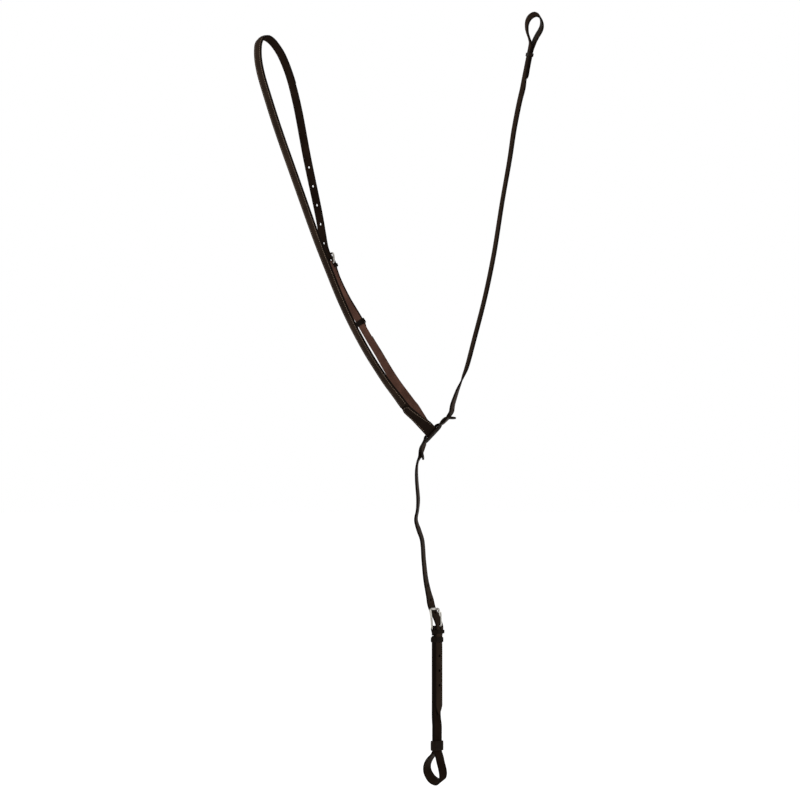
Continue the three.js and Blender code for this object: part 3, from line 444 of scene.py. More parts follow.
class MeshMaker:
    """Vertices and faces in millimetres, with a finish and a lay for each of them."""

    def __init__(self):
        self.points, self.faces, self.finish, self.lay = [], [], [], []

    def skin(self, first, rings, zones, end="edge", closed=False, flip=False):
        """Faces between rings of points, and over both ends where the rings don't close."""
        count, last = len(zones), first + (rings - 1) * len(zones)
        for i in range(rings if closed else rings - 1):
            a, b = first + i * count, first + (i + 1) % rings * count
            for j in range(count):
                k = (j + 1) % count
                others = (a + k, b + k, b + j)
                self.faces.append((a + j, *(reversed(others) if flip else others)))
                self.finish.append(zones[j])
        if not closed:
            ends = [[start + j for j in range(count)] for start in (first, last)]
            ends[1 if flip else 0].reverse()
            self.faces += [tuple(face) for face in ends]
            self.finish += [end, end]

    def strip(self, frames, sections, zones, end="edge", closed=False):
        """Faces through one outline at each frame; lay is along, across and how near the rim."""
        first = len(self.points)
        for i, section in enumerate(sections):
            half = max(abs(w) for w, _ in section)
            for w, n in section:
                self.points.append(frames.at[i] + frames.across[i] * w + frames.out[i] * n)
                self.lay.append((frames.run[i], w, abs(w) / half))
        self.skin(first, len(sections), zones, end, closed)

    def build(self, name, finishes):
        """The Blender object, in metres, with one material slot for each finish used."""
        used = [f for f in finishes if f in set(self.finish)]
        mesh = bpy.data.meshes.new(name)
        mesh.from_pydata([tuple(p * MM) for p in np.array(self.points)], [], self.faces)
        for f in used:
            mesh.materials.append(finishes[f])
        mesh.polygons.foreach_set("material_index", [used.index(f) for f in self.finish])
        mesh.polygons.foreach_set("use_smooth", [True] * len(self.faces))
        lay = np.array(self.lay, np.float32) * np.array([MM, MM, 1], np.float32)
        layer = mesh.attributes.new("lay", "FLOAT_VECTOR", "POINT")
        layer.data.foreach_set("vector", lay.ravel())
        mesh.validate()
        mesh.update()
        made = bpy.data.objects.new(name, mesh)
        bpy.context.scene.collection.objects.link(made)
        return made


def strap_mesh(
    name, frames, halves, thick, finishes, section=leather_section, split_from=None, **settings
):
    """A strap along frames, with its own half width at each; a split end has no grain side."""
    outlines = []
    for half in halves:
        # A narrow outline is a creased one that is squeezed, so that all have as many points
        wide = max(half, NARROWEST_CREASED + 0.01)
        points, zones = section(wide, thick, **settings)
        outlines.append([(w * half / wide, n) for w, n in points])
    maker = MeshMaker()
    maker.strip(frames, outlines, zones)
    if split_from is not None:
        for face in range(split_from * len(zones), len(maker.finish)):
            maker.finish[face] = "flesh"
    return maker.build(name, finishes)


def cut_away(target, cutters):
    """Takes the cutters' shapes out of a piece and removes them."""
    for cutter in cutters:
        step = target.modifiers.new("cut", "BOOLEAN")
        step.operation = "DIFFERENCE"
        step.solver = "EXACT"
        step.object = cutter
    graph = bpy.context.evaluated_depsgraph_get()
    graph.update()
    made = bpy.data.meshes.new_from_object(target.evaluated_get(graph))
    target.modifiers.clear()
    old = target.data
    target.data = made
    made.name = target.name
    bpy.data.meshes.remove(old)
    for cutter in cutters:
        spare = cutter.data
        bpy.data.objects.remove(cutter)
        bpy.data.meshes.remove(spare)


def cutting_piece(shape, frames, finish):
    """A cutting shape, in metres, set on the first of some frames."""
    place = frames.matrix(0)
    place.translation *= MM
    shape.transform(place)
    mesh = bpy.data.meshes.new("cutter")
    shape.to_mesh(mesh)
    shape.free()
    mesh.materials.append(finish)
    made = bpy.data.objects.new("cutter", mesh)
    bpy.context.scene.collection.objects.link(made)
    return made


def punch_cutter(frames, radius, depth, stretch, finish):
    """A round or stretched punch across a strap."""
    shape = bmesh.new()
    radius *= MM
    bmesh.ops.create_cone(
        shape, cap_ends=True, segments=24, radius1=radius, radius2=radius, depth=depth * MM
    )
    shape.transform(Matrix.Rotation(math.pi / 2, 4, "X"))
    shape.transform(Matrix.Diagonal((1, 1, stretch, 1)))
    return cutting_piece(shape, frames, finish)


def punched(strap, places, radius, depth, finish):
    """Punches a strap at places that each say whether a tongue has stretched the hole."""
    through, pulled = 9, 2.1
    made = []
    for at, used in places:
        deep, stretch = (through, pulled) if used else (depth, 1)
        made.append(punch_cutter(at, radius, deep, stretch, finish))
    cut_away(strap, made)


def slotted(strap, heel, size, finish):
    """Cuts the slot of a tongue, as (across, out, along), into the fold round a heel bar."""
    back = -1.6
    shape = bmesh.new()
    bmesh.ops.create_cube(shape, size=1)
    shape.transform(Matrix.Diagonal((*[v * MM for v in size], 1)))
    shape.transform(Matrix.Translation([0, 0, back * MM]))
    cut_away(strap, [cutting_piece(shape, heel, finish)])


# Rings of one stitch: place along it, width and lift, in shares of its length and thickness
STITCH_RINGS = (
    (-0.5, 0.35, -0.3),
    (-0.32, 0.9, 0.05),
    (0.0, 1.0, 0.12),
    (0.32, 0.9, 0.05),
    (0.5, 0.35, -0.3),
)
STITCH_SIDES = 6
STITCH_SLANT = math.radians(10)


def stitches(maker, frames, across, out, pitch, length, thread):
    """A row of stitches sunk in a strap: each is a short slanted lozenge of thread."""
    run, total = frames.run, frames.run[-1]
    count = max(1, int(total / pitch))
    for k in range(count):
        s = (k + 0.5) * total / count
        i = min(int(np.searchsorted(run, s)), len(run) - 1)
        j = max(i - 1, 0)
        share = 0 if run[i] == run[j] else (s - run[j]) / (run[i] - run[j])
        at, side, up = (
            rows[j] * (1 - share) + rows[i] * share
            for rows in (frames.at, frames.across, frames.out)
        )
        side, up = unit(side), unit(up)
        centre = at + side * across + up * out
        way = np.cross(side, up) * math.cos(STITCH_SLANT) + side * math.sin(STITCH_SLANT)
        flank = np.cross(up, way)
        first = len(maker.points)
        for place, wide, lift in STITCH_RINGS:
            for a in np.radians([360 / STITCH_SIDES * q for q in range(STITCH_SIDES)]):
                radius = thread / 2 * wide
                spot = centre + way * (place * length) + up * (lift * thread)
                spot = spot + flank * (radius * math.cos(a)) + up * (radius * 0.8 * math.sin(a))
                maker.points.append(spot)
                maker.lay.append((s, place, math.sin(a)))
        zones = ["thread"] * STITCH_SIDES
        maker.skin(first, len(STITCH_RINGS), zones, "thread", flip=True)


# Shader expressions


class Value:
    """A shader socket on which Python's arithmetic adds the Math nodes."""

    def __init__(self, board, socket):
        self.board, self.socket = board, socket

    def __add__(self, other):
        return self.board.maths("ADD", self, other)

    def __radd__(self, other):
        return self.board.maths("ADD", other, self)

    def __sub__(self, other):
        return self.board.maths("SUBTRACT", self, other)

    def __rsub__(self, other):
        return self.board.maths("SUBTRACT", other, self)

    def __mul__(self, other):
        return self.board.maths("MULTIPLY", self, other)

    def __rmul__(self, other):
        return self.board.maths("MULTIPLY", other, self)

    def held(self):
        """The value kept from 0 to 1."""
        return self.board.add("ShaderNodeClamp", sockets={"Value": self})

    def rise(self, low, high):
        """0 below low, 1 above high, and a smooth rise between."""
        return self.board.add(
            "ShaderNodeMapRange",
            {"interpolation_type": "SMOOTHSTEP"},
            {"Value": self, "From Min": low, "From Max": high},
        )


class Board:
    """The nodes of a new material or world: its shader and what is wired to it."""

    def __init__(self, name, owners="materials", shader="Principled BSDF"):
        self.owner = getattr(bpy.data, owners).new(name)
        self.owner.use_nodes = True
        self.tree = self.owner.node_tree
        self.shader = self.tree.nodes[shader]

    def add(self, kind, settings=None, sockets=None, out=0):
        """A node by its type, its settings and what its sockets take."""
        node = self.tree.nodes.new(kind)
        for key, value in (settings or {}).items():
            setattr(node, key, value)
        for key, value in (sockets or {}).items():
            self.wire(node.inputs[key], value)
        return Value(self, node.outputs[out])

    def wire(self, socket, value):
        """A value or a link into a socket."""
        if isinstance(value, Value):
            self.tree.links.new(value.socket, socket)
        elif hasattr(value, "__len__") and len(value) == 3 and socket.type == "RGBA":
            socket.default_value = (*value, 1)
        else:
            socket.default_value = value

    def maths(self, operation, *values):
        """A Math node."""
        return self.add("ShaderNodeMath", {"operation": operation}, dict(enumerate(values)))

    def mix(self, factor, a, b):
        """A colour between two others."""
        return self.add(
            "ShaderNodeMix",
            {"data_type": "RGBA", "clamp_factor": True},
            {0: factor, 6: a, 7: b},
            out=2,
        )

    def noise(self, vector, scale, detail=3.0, roughness=0.55, distortion=0.0):
        """Cloudy noise."""
        sockets = {"Scale": scale, "Detail": detail, "Roughness": roughness}
        return self.add(
            "ShaderNodeTexNoise", sockets={"Vector": vector, "Distortion": distortion, **sockets}
        )

    def cells(self, vector, scale, feature="F1"):
        """Distance in a pattern of cells."""
        return self.add(
            "ShaderNodeTexVoronoi", {"feature": feature}, {"Vector": vector, "Scale": scale}
        )

    def stretched(self, vector, scale):
        """Texture space scaled by its own factor on each axis."""
        return self.add("ShaderNodeMapping", sockets={"Vector": vector, "Scale": scale})

    def bump(self, height, distance, strength):
        """A normal from a height; distance is in metres."""
        sockets = {"Height": height, "Distance": distance, "Strength": strength}
        return self.add("ShaderNodeBump", sockets=sockets)

    def finish(self, **sockets):
        """Wires the shader; the names are the shader's own, with _ for a space."""
        for key, value in sockets.items():
            self.wire(self.shader.inputs[key.replace("_", " ")], value)
        return self.owner

    def show(self, output, factor, other):
        """Mixes the shader with another one into the output."""
        shaders = {0: factor, 1: Value(self, self.shader.outputs[0]), 2: other}
        mixed = self.add("ShaderNodeMixShader", sockets=shaders)
        self.wire(self.tree.nodes[output].inputs["Surface"], mixed)


# Specular levels are low, because the white surroundings mirror in leather seen at a low angle
SHEEN, DULL, SATIN = 0.015, 0.01, 0.1


def object_space(board):
    """Texture space in metres, fixed to the piece."""
    return board.add("ShaderNodeTexCoord", out="Object")


def lay_space(board):
    """Along, across and how near the rim, from the strap itself."""
    lay = board.add("ShaderNodeAttribute", {"attribute_name": "lay"}, out="Vector")
    return lay, board.add("ShaderNodeSeparateXYZ", sockets={0: lay}, out="Z")


def shade(colour, factor):
    """A colour made darker or paler by a factor."""
    return tuple(min(1, c * factor) for c in colour)


def grain_leather(name, colour, worn, grain, roughness=0.5, wear_and_highlight=0.5):
    """The smooth side of a strap: pores, faint wrinkles, and rims made paler, as wear and as a painted
    highlight along them.
    """
    board = Board(name)
    space = object_space(board)
    lay, rim = lay_space(board)
    cloud = board.noise(space, 22, 4)
    mottle = board.noise(space, 160, 3, 0.6)
    pores = board.cells(space, grain, "SMOOTH_F1")
    hairs = board.cells(space, grain * 2.6)
    wrinkles = board.noise(board.stretched(lay, (900, 160, 1)), 1.0, 3, 0.6, 0.4)
    # Rims made paler: rubbing, and a painted highlight along the edges.
    rubbed = (rim.rise(0.62, 1.0) * mottle.rise(0.35, 0.75) * wear_and_highlight).held()
    deep = shade(colour, 0.62)
    base = board.mix(cloud.rise(0.3, 0.72), deep, shade(colour, 1.35))
    base = board.mix(mottle.rise(0.4, 0.8) * 0.45, base, colour)
    base = board.mix((1 - pores.rise(0.0, 0.55)) * 0.5, base, deep)
    base = board.mix(rubbed, base, worn)
    height = pores * 0.6 + hairs * 0.25 + wrinkles * 0.5
    rough = (roughness + (mottle - 0.5) * 0.18 + rubbed * 0.16).held()
    return board.finish(
        Base_Color=base,
        Roughness=rough,
        Normal=board.bump(height, 0.00012, 0.75),
        Specular_IOR_Level=SHEEN,
    )


def flesh_leather(name, colour, paler=1.7):
    """The inner side of a strap: matt, with short fibres along it."""
    board = Board(name)
    space = object_space(board)
    lay, rim = lay_space(board)
    fibres = board.noise(board.stretched(lay, (260, 1500, 1)), 1.0, 5, 0.65, 0.6)
    cloud = board.noise(space, 30, 3)
    nap = board.noise(space, 2600, 2)
    deep = shade(colour, 0.55)
    base = board.mix(cloud.rise(0.3, 0.75), deep, colour)
    base = board.mix(fibres.rise(0.45, 0.75) * 0.55, base, shade(colour, paler))
    base = board.mix(rim.rise(0.86, 1.0) * 0.7, base, deep)
    return board.finish(
        Base_Color=base,
        Roughness=(0.72 + fibres * 0.2).held(),
        Normal=board.bump(fibres * 0.7 + nap * 0.5, 0.00018, 0.8),
        Specular_IOR_Level=DULL,
    )


def edge_leather(name, colour, worn):
    """A cut and burnished edge, with the layers of the hide showing as fine lines."""
    board = Board(name)
    space = object_space(board)
    lay, _ = lay_space(board)
    drag = board.noise(board.stretched(lay, (150, 1400, 1)), 1.0, 4, 0.6)
    speck = board.noise(space, 900, 3)
    base = board.mix(drag.rise(0.35, 0.75), shade(colour, 0.6), colour)
    base = board.mix(speck.rise(0.62, 0.8) * 0.4, base, worn)
    return board.finish(
        Base_Color=base,
        Roughness=(0.42 + speck * 0.25).held(),
        Normal=board.bump(drag * 0.6 + speck * 0.4, 0.0001, 0.6),
        Specular_IOR_Level=DULL,
    )


def waxed_thread(name, colour):
    """Twisted, waxed thread."""
    board = Board(name)
    space = object_space(board)
    twist = board.add(
        "ShaderNodeTexWave",
        {"bands_direction": "DIAGONAL"},
        {"Vector": space, "Scale": 1800.0, "Distortion": 1.5, "Detail": 2.0},
    )
    base = board.mix(twist, shade(colour, 0.55), colour)
    return board.finish(
        Base_Color=base,
        Roughness=(0.55 + twist * 0.15).held(),
        Normal=board.bump(twist, 0.00006, 0.6),
        Specular_IOR_Level=SATIN,
    )


def polished_steel(name, colour, shade):
    """Bar steel, polished, with fine scratches, and dark clouds on its colour: a painted dark
    reflection of the room that polished steel mirrors.
    """
    board = Board(name)
    space = object_space(board)
    haze = board.noise(space, 140, 4, 0.6)
    scratches = board.noise(board.stretched(space, (300, 300, 6000)), 1.0, 3, 0.7, 0.3)
    # Painted dark reflection: clouds that darken the steel's colour, as a mirrored dark room would.
    reflection_film = haze.rise(0.42, 0.7)
    base = board.mix(reflection_film, colour, shade)
    scratched = scratches.rise(0.55, 0.8)
    base = board.mix(scratched * 0.4, base, colour)
    return board.finish(
        Base_Color=base,
        Metallic=1.0,
        Roughness=(0.16 + reflection_film * 0.18 + scratched * 0.1).held(),
        Normal=board.bump(scratches, 0.00002, 0.35),
    )


def pressed_rubber(name, colour):
    """Moulded rubber: matt, faintly pitted, paler where it is bent and rubbed."""
    board = Board(name)
    space = object_space(board)
    _, rim = lay_space(board)
    bloom = board.noise(space, 60, 4, 0.6)
    pits = board.cells(space, 1400)
    fine = board.noise(space, 3000, 2)
    rubbed = (rim.rise(0.8, 1.0) * bloom.rise(0.45, 0.7) * 0.5).held()
    base = board.mix(bloom.rise(0.35, 0.7), shade(colour, 0.7), colour)
    base = board.mix(rubbed, base, shade(colour, 1.6))
    return board.finish(
        Base_Color=base,
        Roughness=(0.62 + bloom * 0.2).held(),
        Normal=board.bump(pits * 0.5 + fine * 0.4, 0.00008, 0.6),
        Specular_IOR_Level=SHEEN,
    )


# What a user would change


def number_setting(name, description, default, low, high, unit="NONE"):
    """A number that a user can set."""
    return FloatProperty(
        name=name, description=description, default=default, min=low, max=high, unit=unit
    )


def length_setting(*settings):
    """A length that a user can set, in metres."""
    return number_setting(*settings, "LENGTH")


def colour_setting(name, description, *default):
    """A colour that a user can set, as red, green and blue."""
    return FloatVectorProperty(
        name=name, description=description, default=default, min=0, max=1, subtype="COLOR"
    )


class MartingaleSizes(PropertyGroup):
    """Widths, stitch spacing and hole sizes."""

    neck_width: length_setting(
        "Neck strap width", "Width of the neck strap and its billet", 0.016, 0.008, 0.03
    )
    main_width: length_setting(
        "Martingale strap width", "Width of the long strap and of the girth strap", 0.019, 0.01, 0.035
    )
    chest_width: length_setting(
        "Chest loop width",
        "Width of the chest loop where the strap runs through it",
        0.0215, 0.012, 0.04,
    )
    stop_width: length_setting("Stop width", "Width of the rubber stop", 0.03, 0.02, 0.05)
    stitch_pitch: length_setting(
        "Stitch spacing", "Distance from one stitch to the next", 0.0032, 0.002, 0.006
    )
    thread: length_setting("Thread thickness", "Thickness of the waxed thread", 0.0007, 0.0003, 0.0015)
    neck_hole: length_setting(
        "Neck hole radius", "Radius of the holes in the neck billet", 0.0022, 0.001, 0.004
    )
    girth_hole: length_setting(
        "Girth hole radius", "Radius of the holes in the girth billet", 0.0025, 0.001, 0.004
    )


class MartingaleColours(PropertyGroup):
    """Colours of the leather, thread, steel and rubber."""

    leather: colour_setting("Leather", "Grain side of the straps", 0.024, 0.0143, 0.009)
    facing: colour_setting("Facing", "Raised facing of the neck strap", 0.0225, 0.014, 0.0095)
    patch: colour_setting(
        "Chest loop", "Grain side of the chest loop and its leaves", 0.0105, 0.0065, 0.0045
    )
    flesh: colour_setting(
        "Flesh side",
        "Inner side of the straps, dyed nearly as dark as the grain side",
        0.016, 0.0092, 0.006,
    )
    long_flesh: colour_setting(
        "Flesh side of the long strap",
        "Inner side of the long strap, a little paler than the neck strap's",
        0.029, 0.0175, 0.011,
    )
    lining: colour_setting("Lining", "Paler inner side of the short neck strap", 0.12, 0.058, 0.041)
    edge: colour_setting("Edge", "Cut and burnished edges", 0.009, 0.006, 0.0045)
    # This colour is also the painted highlight along the rims of the straps.
    worn: colour_setting(
        "Worn leather", "Rims and high places that have been rubbed", 0.06, 0.037, 0.026
    )
    keeper: colour_setting("Keepers", "Grain side of the keepers", 0.009, 0.006, 0.0042)
    # On the raised facings this pale thread also paints the highlight lines along the margins; on the
    # chest loop it is the thread's own colour.
    pale_thread: colour_setting(
        "Pale thread", "Waxed thread of the raised facings and the chest loop", 0.34, 0.26, 0.19
    )
    thread: colour_setting("Thread", "Waxed thread of the other straps", 0.035, 0.021, 0.014)
    # The steel's colour is kept dark and clouded with a darker one, a painted dark reflection on the
    # bars.
    steel: colour_setting("Steel", "Buckle frames and tongues", 0.5, 0.48, 0.44)
    steel_shade: colour_setting("Film on the steel", "Dark film on the buckle bars", 0.14, 0.125, 0.11)
    rubber: colour_setting("Rubber", "The stop", 0.0125, 0.0085, 0.0062)
    grain: IntProperty(
        name="Grain", description="Pores of the leather for each metre", default=950, min=200, max=3000
    )


class MartingaleStage(PropertyGroup):
    """Light, floor and camera."""

    sky: number_setting("Sky light", "Strength of the even light from all round", 0.42, 0, 2)
    lamp: number_setting("Lamp", "Power of the large soft lamp", 11.0, 0, 500, "POWER")
    floor: length_setting("Floor height", "Height of the floor under the straps", -1.42, -10, 10)
    distance: length_setting("Camera distance", "Distance from the camera to the straps", 7.556, 1, 30)


FINISHES = {}


def finishes(context):
    """The materials, made once from the colours."""
    if FINISHES:
        return FINISHES
    setting = context.scene.martingale_colours
    keys = [key for key in setting.__annotations__ if key != "grain"]
    colours = {key: tuple(getattr(setting, key)) for key in keys}
    worn, pores = colours["worn"], float(setting.grain)

    def grain(name, key, *feel):
        return grain_leather(name, colours[key], worn, *feel)

    FINISHES.update(
        grain=grain("strap grain leather", "leather", pores),
        facing=grain("raised facing leather", "facing", pores * 0.85, 0.42, 0.4),
        # The chest loop's rims are made paler more strongly: a painted highlight along the leaves'
        # edges as well as wear.
        patch=grain("chest loop leather", "patch", pores * 0.8, 0.5, 0.7),
        keeper=grain("keeper leather", "keeper", pores, 0.5, 0.3),
        flesh=flesh_leather("strap flesh side", colours["flesh"]),
        long_flesh=flesh_leather("long strap flesh side", colours["long_flesh"], 1.5),
        lining=flesh_leather("pale flesh side", colours["lining"]),
        edge=edge_leather("burnished edge", colours["edge"], worn),
        thread=waxed_thread("waxed thread", colours["thread"]),
        pale_thread=waxed_thread("pale waxed thread", colours["pale_thread"]),
        steel=polished_steel("polished bar steel", colours["steel"], colours["steel_shade"]),
        rubber=pressed_rubber("moulded rubber", colours["rubber"]),
    )
    return FINISHES


def looks(context, grain="grain", flesh="flesh", edge="edge"):
    """The finishes of one strap by zone."""
    made = finishes(context)
    return {"grain": made[grain], "flesh": made[flesh], "edge": made[edge]}


def belongs(piece, body, slot, *nodes):
    """Puts a piece in its place in the object: it joins its body, and the parts that it stands for are
    hidden. The slot is not used.
    """
    if nodes:
        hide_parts(*nodes)
    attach(piece, body)


# The pieces


def half_width(context, key):
    """Half of a width that a user can set, in millimetres."""
    return getattr(context.scene.martingale_sizes, key) / MM / 2


def both_rims(row, across, out):
    """Two rows of stitches along one line, at the same distance to either side."""
    return [(row, side * across, out) for side in (-1, 1)]


def sew(context, name, rows, body, slot, thread="thread", stitch=SHORT_STITCH):
    """Sews rows of frames, each at a distance across and out, as one piece."""
    sizes = context.scene.martingale_sizes
    pitch, thick = sizes.stitch_pitch / MM, sizes.thread / MM
    maker = MeshMaker()
    for frames, across, out in rows:
        stitches(maker, frames, across, out, pitch, stitch, thick)
    belongs(maker.build(name, {"thread": finishes(context)[thread]}), body, slot)


class MARTINGALE_OT_neck_strap(Operator):
    """Build the neck strap with its billet and punched holes"""

    bl_idname = "martingale.neck_strap"
    bl_label = "Neck strap"

    def execute(self, context):
        half = half_width(context, "neck_width")
        ends = [neck_tip - d for d in (0.3, 0.8, 1.6, 2.6, 4, 5.6, 7.5, 10, 13)]
        s = every(0, neck_tip, 3.4, ends)
        path = neck_ring.frames(s).raised(neck_billet_out(s))
        halves, finish = point_tip(half, neck_tip - s), looks(context)
        strap = strap_mesh(
            "neck_strap_leather", path, halves, NECK_THICK, finish, crease=1.6, crown=0.05
        )
        places = []
        for i in range(-1, 6):
            spot = neck_heel - HOLE_FROM_HEEL - i * NECK_HOLE_STEP
            lift = NECK_OVER if i == 0 else float(neck_billet_out(spot))
            places.append((neck_ring.frames(spot).raised(lift), i == 0))
        hole = context.scene.martingale_sizes.neck_hole / MM
        punched(strap, places, hole, NECK_THICK + 0.5, finish["edge"])
        belongs(strap, "neck", "dark_leather", "neck_strap")
        return {"FINISHED"}


FACING_STITCH, FACING_MARGIN = 5.5, 0.78
NEAR_FACING_END_Z = -75


def facing_section():
    """The raised facing: two thin sewing margins and a rounded middle over the filler."""
    half, foot, shoulder, filler = 7.8, 4.8, 3.3, 1.8
    base = NECK_THICK / 2 + GAP
    lower = [(-half, base), (-foot, base), (-shoulder, base + filler)]
    lower += mirrored(lower)
    margin = [(half + 0.12, base + 0.45), (half - 0.2, base + 0.86), (half - 0.7, base + 0.98)]
    stitch = [(6.2, base + 1.0), (FACING_STITCH, base + 0.72), (5.0, base + 0.95)]
    rise = [(4.65, base + 1.35), (4.25, base + 1.85), (3.6, base + 2.36), (2.7, base + 2.75)]
    right = margin + stitch + rise + [(1.5, base + 2.97)]
    upper = right + [(0, base + 3.04)] + mirrored(right)
    points = lower + upper
    zones = ["flesh"] * (len(lower) - 1) + ["edge"] * 2 + ["grain"] * (len(upper) - 4)
    return points, zones + ["edge"] * (len(points) - len(zones))


class MARTINGALE_OT_facings(Operator):
    """Build the raised facings of both legs of the neck strap and their stitching"""

    bl_idname = "martingale.facings"
    bl_label = "Raised facings"

    def execute(self, context):
        near_end = neck_ring.where_height(NEAR_FACING_END_Z, neck_ring.length / 2)
        stretches = {
            "near": (LEAF + 1.5, near_end),
            "far": (neck_tip + 12, neck_ring.length - LEAF - 1.5),
        }
        finish = looks(context, grain="facing")
        for side, (start, end) in stretches.items():
            frames = neck_ring.frames(every(start, end, 3.2))
            outline, zones = facing_section()
            maker = MeshMaker()
            maker.strip(frames, [outline] * len(frames), zones)
            facing = maker.build(f"neck_facing_{side}_leather", finish)
            nodes = (f"neck_facing_{side}", f"neck_filler_{side}")
            belongs(facing, "neck", "dark_leather", *nodes)
            row = neck_ring.frames(every(start + 2, end - 2, 3.2))
            # The pale thread on these rows also paints the highlight lines along the facing's margins.
            rows = both_rims(row, FACING_STITCH, NECK_THICK / 2 + GAP + FACING_MARGIN)
            name = f"neck_facing_{side}_stitching"
            sew(context, name, rows, "neck", "dark_leather", "pale_thread", LONG_STITCH)
        return {"FINISHED"}


class MARTINGALE_OT_neck_buckle_strap(Operator):
    """Build the short neck strap that wraps the buckle's heel bar and turns back"""

    bl_idname = "martingale.neck_buckle_strap"
    bl_label = "Neck buckle strap"

    def execute(self, context):
        half = half_width(context, "neck_width")
        run_in, back = 12.0, 42.0
        inner = -(NECK_THICK + GAP)
        leg = neck_ring.frames(every(neck_heel + run_in, neck_ring.length, 3.4)).reversed()
        heel = neck_heel_frame()

        def turn(d, out):
            return neck_ring.frames(neck_heel + d).raised(out).at[0]

        route = [turn(run_in, 0), turn(9.5, 0.02), turn(7, 0.3)]
        route += fold_points(heel, NECK_FOLD)
        route += [turn(7, inner - 0.3), turn(9.5, inner - 0.02), turn(run_in, inner)]
        fold_line = StrapLine(route, [heel.across[0]] * len(route))
        fold = fold_line.frames(every(0, fold_line.length, 0.8)[1:-1]).turned_over()
        ends = [neck_heel + back - d for d in NEAR_END]
        rest = neck_ring.frames(every(neck_heel + run_in, neck_heel + back, 3.0, ends))
        rest = rest.raised(inner).turned_over()
        path = leg.joined(fold, rest)
        halves = round_tip(half, path.run[-1] - path.run)
        finish = looks(context, flesh="lining", edge="lining")
        pale = {"split_from": len(leg) + 3, "crease": 1.6, "crown": 0.05}
        strap = strap_mesh("neck_buckle_strap_leather", path, halves, NECK_THICK, finish, **pale)
        slotted(strap, heel, (5, 24, 14), finishes(context)["edge"])
        belongs(strap, "neck", "brown_leather", "neck_buckle_strap")
        sewn = neck_ring.frames(every(neck_heel + 15, neck_heel + 39, 3)).raised(inner).turned_over()
        rows = both_rims(sewn, half - NECK_INSET, NECK_THICK / 2)
        sew(context, "neck_turn_back_stitching", rows, "neck", "brown_leather")
        return {"FINISHED"}


def frame_mesh(name, heel, bar, size, finish):
    """A buckle frame: a bar bent to a rectangle, swelled at the front and arched outwards."""
    inside, length, front_out, arch = size
    half, corner = inside / 2 + bar, bar * 1.9
    stops = []
    ends = ((1, -corner), (-1, -corner), (-1, corner - length), (1, corner - length))
    for quarter, (side, back) in enumerate(ends):
        across, start = side * (half - corner), 90 * quarter
        for step in range(9):
            a = math.radians(start + step * 11.25)
            stops.append((across + corner * math.cos(a), back + corner * math.sin(a), a))
        onward = 1 if start < 180 else -1
        if start in (90, 270):
            for share in np.linspace(0.2, 0.8, 7)[::onward]:
                stops.append((side * half, -length * share, math.pi if start == 90 else 0))
        else:
            for w in np.linspace(half - corner, corner - half, 7)[1:-1][::onward]:
                stops.append((w, 0 if start == 0 else -length, math.radians(start + 90)))
    maker = MeshMaker()
    around, swell, flat = 16, 0.16, 0.9
    for across, back, direction in stops:
        share = -back / length
        radius = bar * (1 + swell * float(smooth_step(share, 0.55, 1)))
        lift = front_out * share + arch * math.sin(math.pi * share)
        out = np.array([math.cos(direction), 0, math.sin(direction)])
        for i in range(around):
            a = 2 * math.pi * i / around
            point = np.array([across, lift, back]) + out * radius * math.cos(a)
            point[1] += flat * radius * math.sin(a)
            maker.points.append(heel.point(*point))
            maker.lay.append((0, 0, 0))
    maker.skin(0, len(stops), ["steel"] * around, closed=True)
    return maker.build(name, {"steel": finish})


def tongue_mesh(name, heel, bar, over, tip, finish):
    """A buckle tongue: an eye round the heel bar and a tapering pin out of the strap's hole."""
    wire, around = bar * 0.72, 12
    eye = bar + 0.2 + wire
    spots = [(eye * math.cos(a), eye * math.sin(a)) for a in np.radians(range(150, 376, 25))]
    hole = HOLE_FROM_HEEL
    spots += [(hole - 0.4, over - 1.2), (hole + 0.8, over + 1.6), (hole + 4, over + 3.1)]
    spots += [((hole + 4 + tip[0]) / 2, (over + 3.1) * 0.45 + tip[1] * 0.55), tip]
    route = [heel.point(0, out, -back) for back, out in spots]
    line = StrapLine(route, [heel.across[0]] * len(route))
    s = every(0, line.length, 0.9, [line.length - d for d in (0.15, 0.35, 0.6)])
    frames = line.frames(s)
    left = (line.length - s) / line.length
    radius = wire * (0.72 + 0.28 * smooth_step(left, 0, 0.6))
    radius = radius * np.sqrt(np.clip((line.length - s) / 0.9, 0.08, 1))
    turns = np.linspace(0, 2 * math.pi, around + 1)[:-1]
    sections = [[(1.15 * r * math.cos(a), 0.95 * r * math.sin(a)) for a in turns] for r in radius]
    maker = MeshMaker()
    maker.strip(frames, sections, ["steel"] * around, "steel")
    return maker.build(name, {"steel": finish})


def buckle(context, prefix, heel, bar, size, over, tip):
    """A buckle's frame and tongue; over is how far out the billet lies on the fold."""
    steel = finishes(context)["steel"]
    ring = frame_mesh(f"{prefix}_buckle_bar", heel, bar, size, steel)
    belongs(ring, f"{prefix}_frame", "steel", f"{prefix}_buckle_frame")
    pin = tongue_mesh(f"{prefix}_buckle_pin", heel, bar, over, tip, steel)
    belongs(pin, f"{prefix}_tongue", "steel", f"{prefix}_buckle_tongue")


class MARTINGALE_OT_buckles(Operator):
    """Build both buckles, frames and tongues"""

    bl_idname = "martingale.buckles"
    bl_label = "Buckles"

    def execute(self, context):
        heel, over = neck_heel_frame(), NECK_FOLD + NECK_THICK + GAP + 0.1
        buckle(context, "neck", heel, NECK_BAR, NECK_FRAME, over, NECK_TIP)
        heel, over = girth_heel_frame(), GIRTH_FOLD + MAIN_THICK + GAP + 0.1
        buckle(context, "girth", heel, GIRTH_BAR, GIRTH_FRAME, over, GIRTH_TIP)
        return {"FINISHED"}


